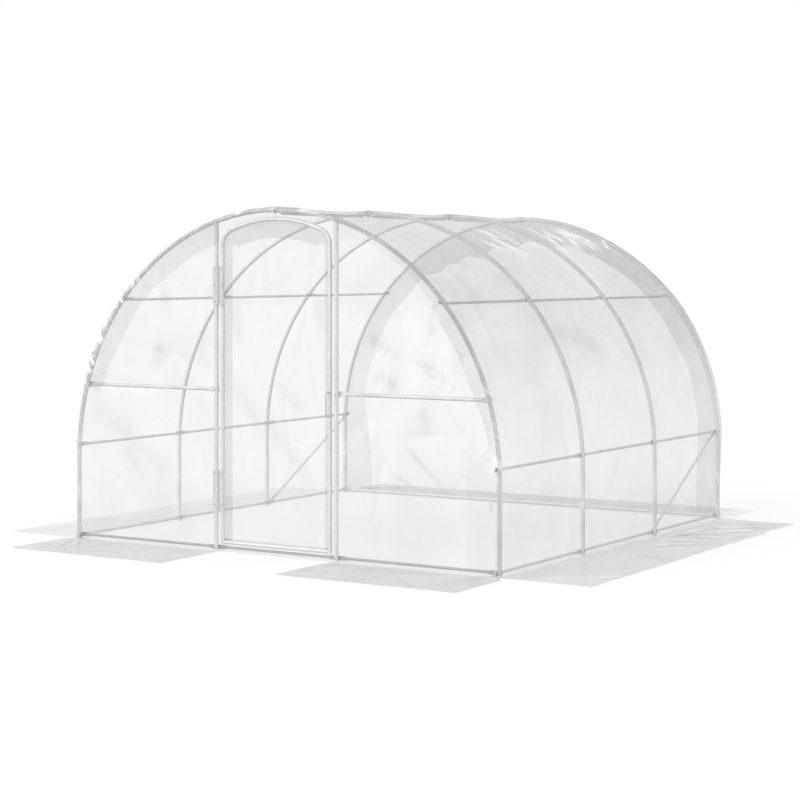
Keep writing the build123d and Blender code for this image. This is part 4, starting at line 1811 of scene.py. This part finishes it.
@dataclass
class Studio:
    """Pale floor, soft lamps and the camera.

    Args:
        eye: The camera's place.
        heading: Turn about Z in degrees.
        lens: Focal length in millimetres on a 36 mm sensor.
        drop: Vertical shift that keeps the camera level.
        glow: How much the floor is lifted towards white where it is seen.
        dim: The world's strength where it only lights.
    """

    eye: Place = (6.732, -10.834, 1.685)
    heading: float = 32.145
    lens: float = 89.46
    drop: float = -0.1686
    glow: float = 0.41
    dim: float = 0.60

    def place_camera(self) -> None:
        """Adds the camera."""
        data = bpy.data.cameras.new("camera")
        data.lens = self.lens
        data.sensor_width = 36.0
        data.shift_y = self.drop
        data.clip_end = 200.0
        camera = bpy.data.objects.new("camera", data)
        camera.location = self.eye
        camera.rotation_euler = (QUARTER, 0.0, math.radians(self.heading))
        bpy.context.collection.objects.link(camera)
        bpy.context.scene.camera = camera

    def lay_floor(self) -> None:
        """Adds the pale floor, which keeps the object's shadow."""
        deselect_all()
        bpy.ops.mesh.primitive_plane_add(size=120.0, location=(0.0, 0.0, -0.001))
        floor = bpy.context.object
        floor.name = "studio_floor"
        bench = NodeBench(bpy.data.materials.new("pale_floor"))
        matte = bench.add("BsdfDiffuse", {"Color": (0.65, 0.65, 0.65, 1.0)})
        lift = bench.math("MULTIPLY", bench.seen(), self.glow)
        glow = bench.add("Emission", {"Color": (1.0, 1.0, 1.0, 1.0), "Strength": lift})
        both = bench.add("AddShader", {0: matte.outputs[0], 1: glow.outputs[0]})
        floor.data.materials.append(bench.finish(both))

    def light(self) -> None:
        """Adds the world and the lamps."""
        bench = NodeBench(bpy.data.worlds.new("studio"))
        level = bench.add("MapRange", {"Value": bench.seen(), "To Min": self.dim, "To Max": 1.0}).outputs[0]
        shade = bench.add("Background", {"Color": (1.0, 1.0, 1.0, 1.0), "Strength": level})
        bpy.context.scene.world = bench.finish(shade, "OutputWorld")
        for name, toward, strength, spread in (
            ("key", (-0.45, -0.85, 0.42), 1.50, 70.0),
            ("fill", (0.90, -0.35, 0.40), 1.10, 90.0),
        ):
            data = bpy.data.lights.new(name, "SUN")
            data.energy = strength
            data.angle = math.radians(spread)
            lamp = bpy.data.objects.new(name, data)
            lamp.rotation_euler = Vector(toward).to_track_quat("Z", "Y").to_euler()
            lamp.location = Vector(toward) * 8.0
            bpy.context.collection.objects.link(lamp)


def main() -> None:
    """Builds every piece in order and reports it."""
    logging.basicConfig(level=logging.INFO, format="%(message)s")
    studio = Studio()
    studio.place_camera()
    studio.lay_floor()
    studio.light()
    steel = GalvanisedSteel().make()
    fitting_steel = GalvanisedSteel(name="zinc_fittings", light=0.64, dull=0.50, spangle=220.0).make()
    film = ClearFilm().make()
    # Darker zinc for the door sill and the front base rails.
    low_steel = GalvanisedSteel(name="darker_foot_zinc", light=0.50, dull=0.34, metal=0.2).make()
    screw_steel = GalvanisedSteel(name="dark_zinc", light=0.34, dull=0.22, spangle=300.0).make()
    dress_frame(steel, fitting_steel, low_steel)
    pieces = [RoofCover(film).build()]
    for side, marks, gleams in ((Side.LEFT, LEFT_FOLD_SHADE, ()), (Side.RIGHT, RIGHT_FOLD_SHADE, RIGHT_GLEAMS)):
        nodes = (f"front_film_{side.word}", f"front_ground_film_{side.word}")
        name, seed = f"film_front_{side.word}", 50 + 10 * side.value
        front = EndFilm(
            film, name, End.FRONT, POST_X - HOOP_TUBE, nodes, marks, gleams, seed=seed, mirror=side.value
        )
        pieces.append(front.build())
    nodes = ("back_film", "back_ground_film")
    back = EndFilm(film, "film_back", End.BACK, -1.498, nodes, BACK_FOLD_SHADE, BACK_GLEAMS, 0.085, 0.25, seed=80)
    pieces.append(back.build())
    pieces.append(DoorFilm(film).build())
    for fitting in (TubeBolts, HandleFeet, DoorWelds):
        pieces += fitting(fitting_steel).build()
    pieces += HingeScrews(screw_steel).build()
    pieces += LegSleeves(steel).build()
    for piece in pieces:
        REPORT.info("%s: %d faces", piece.name, len(piece.data.polygons))
    bpy.context.scene.view_settings.view_transform = "Standard"


if __name__ == "__main__":
    main()
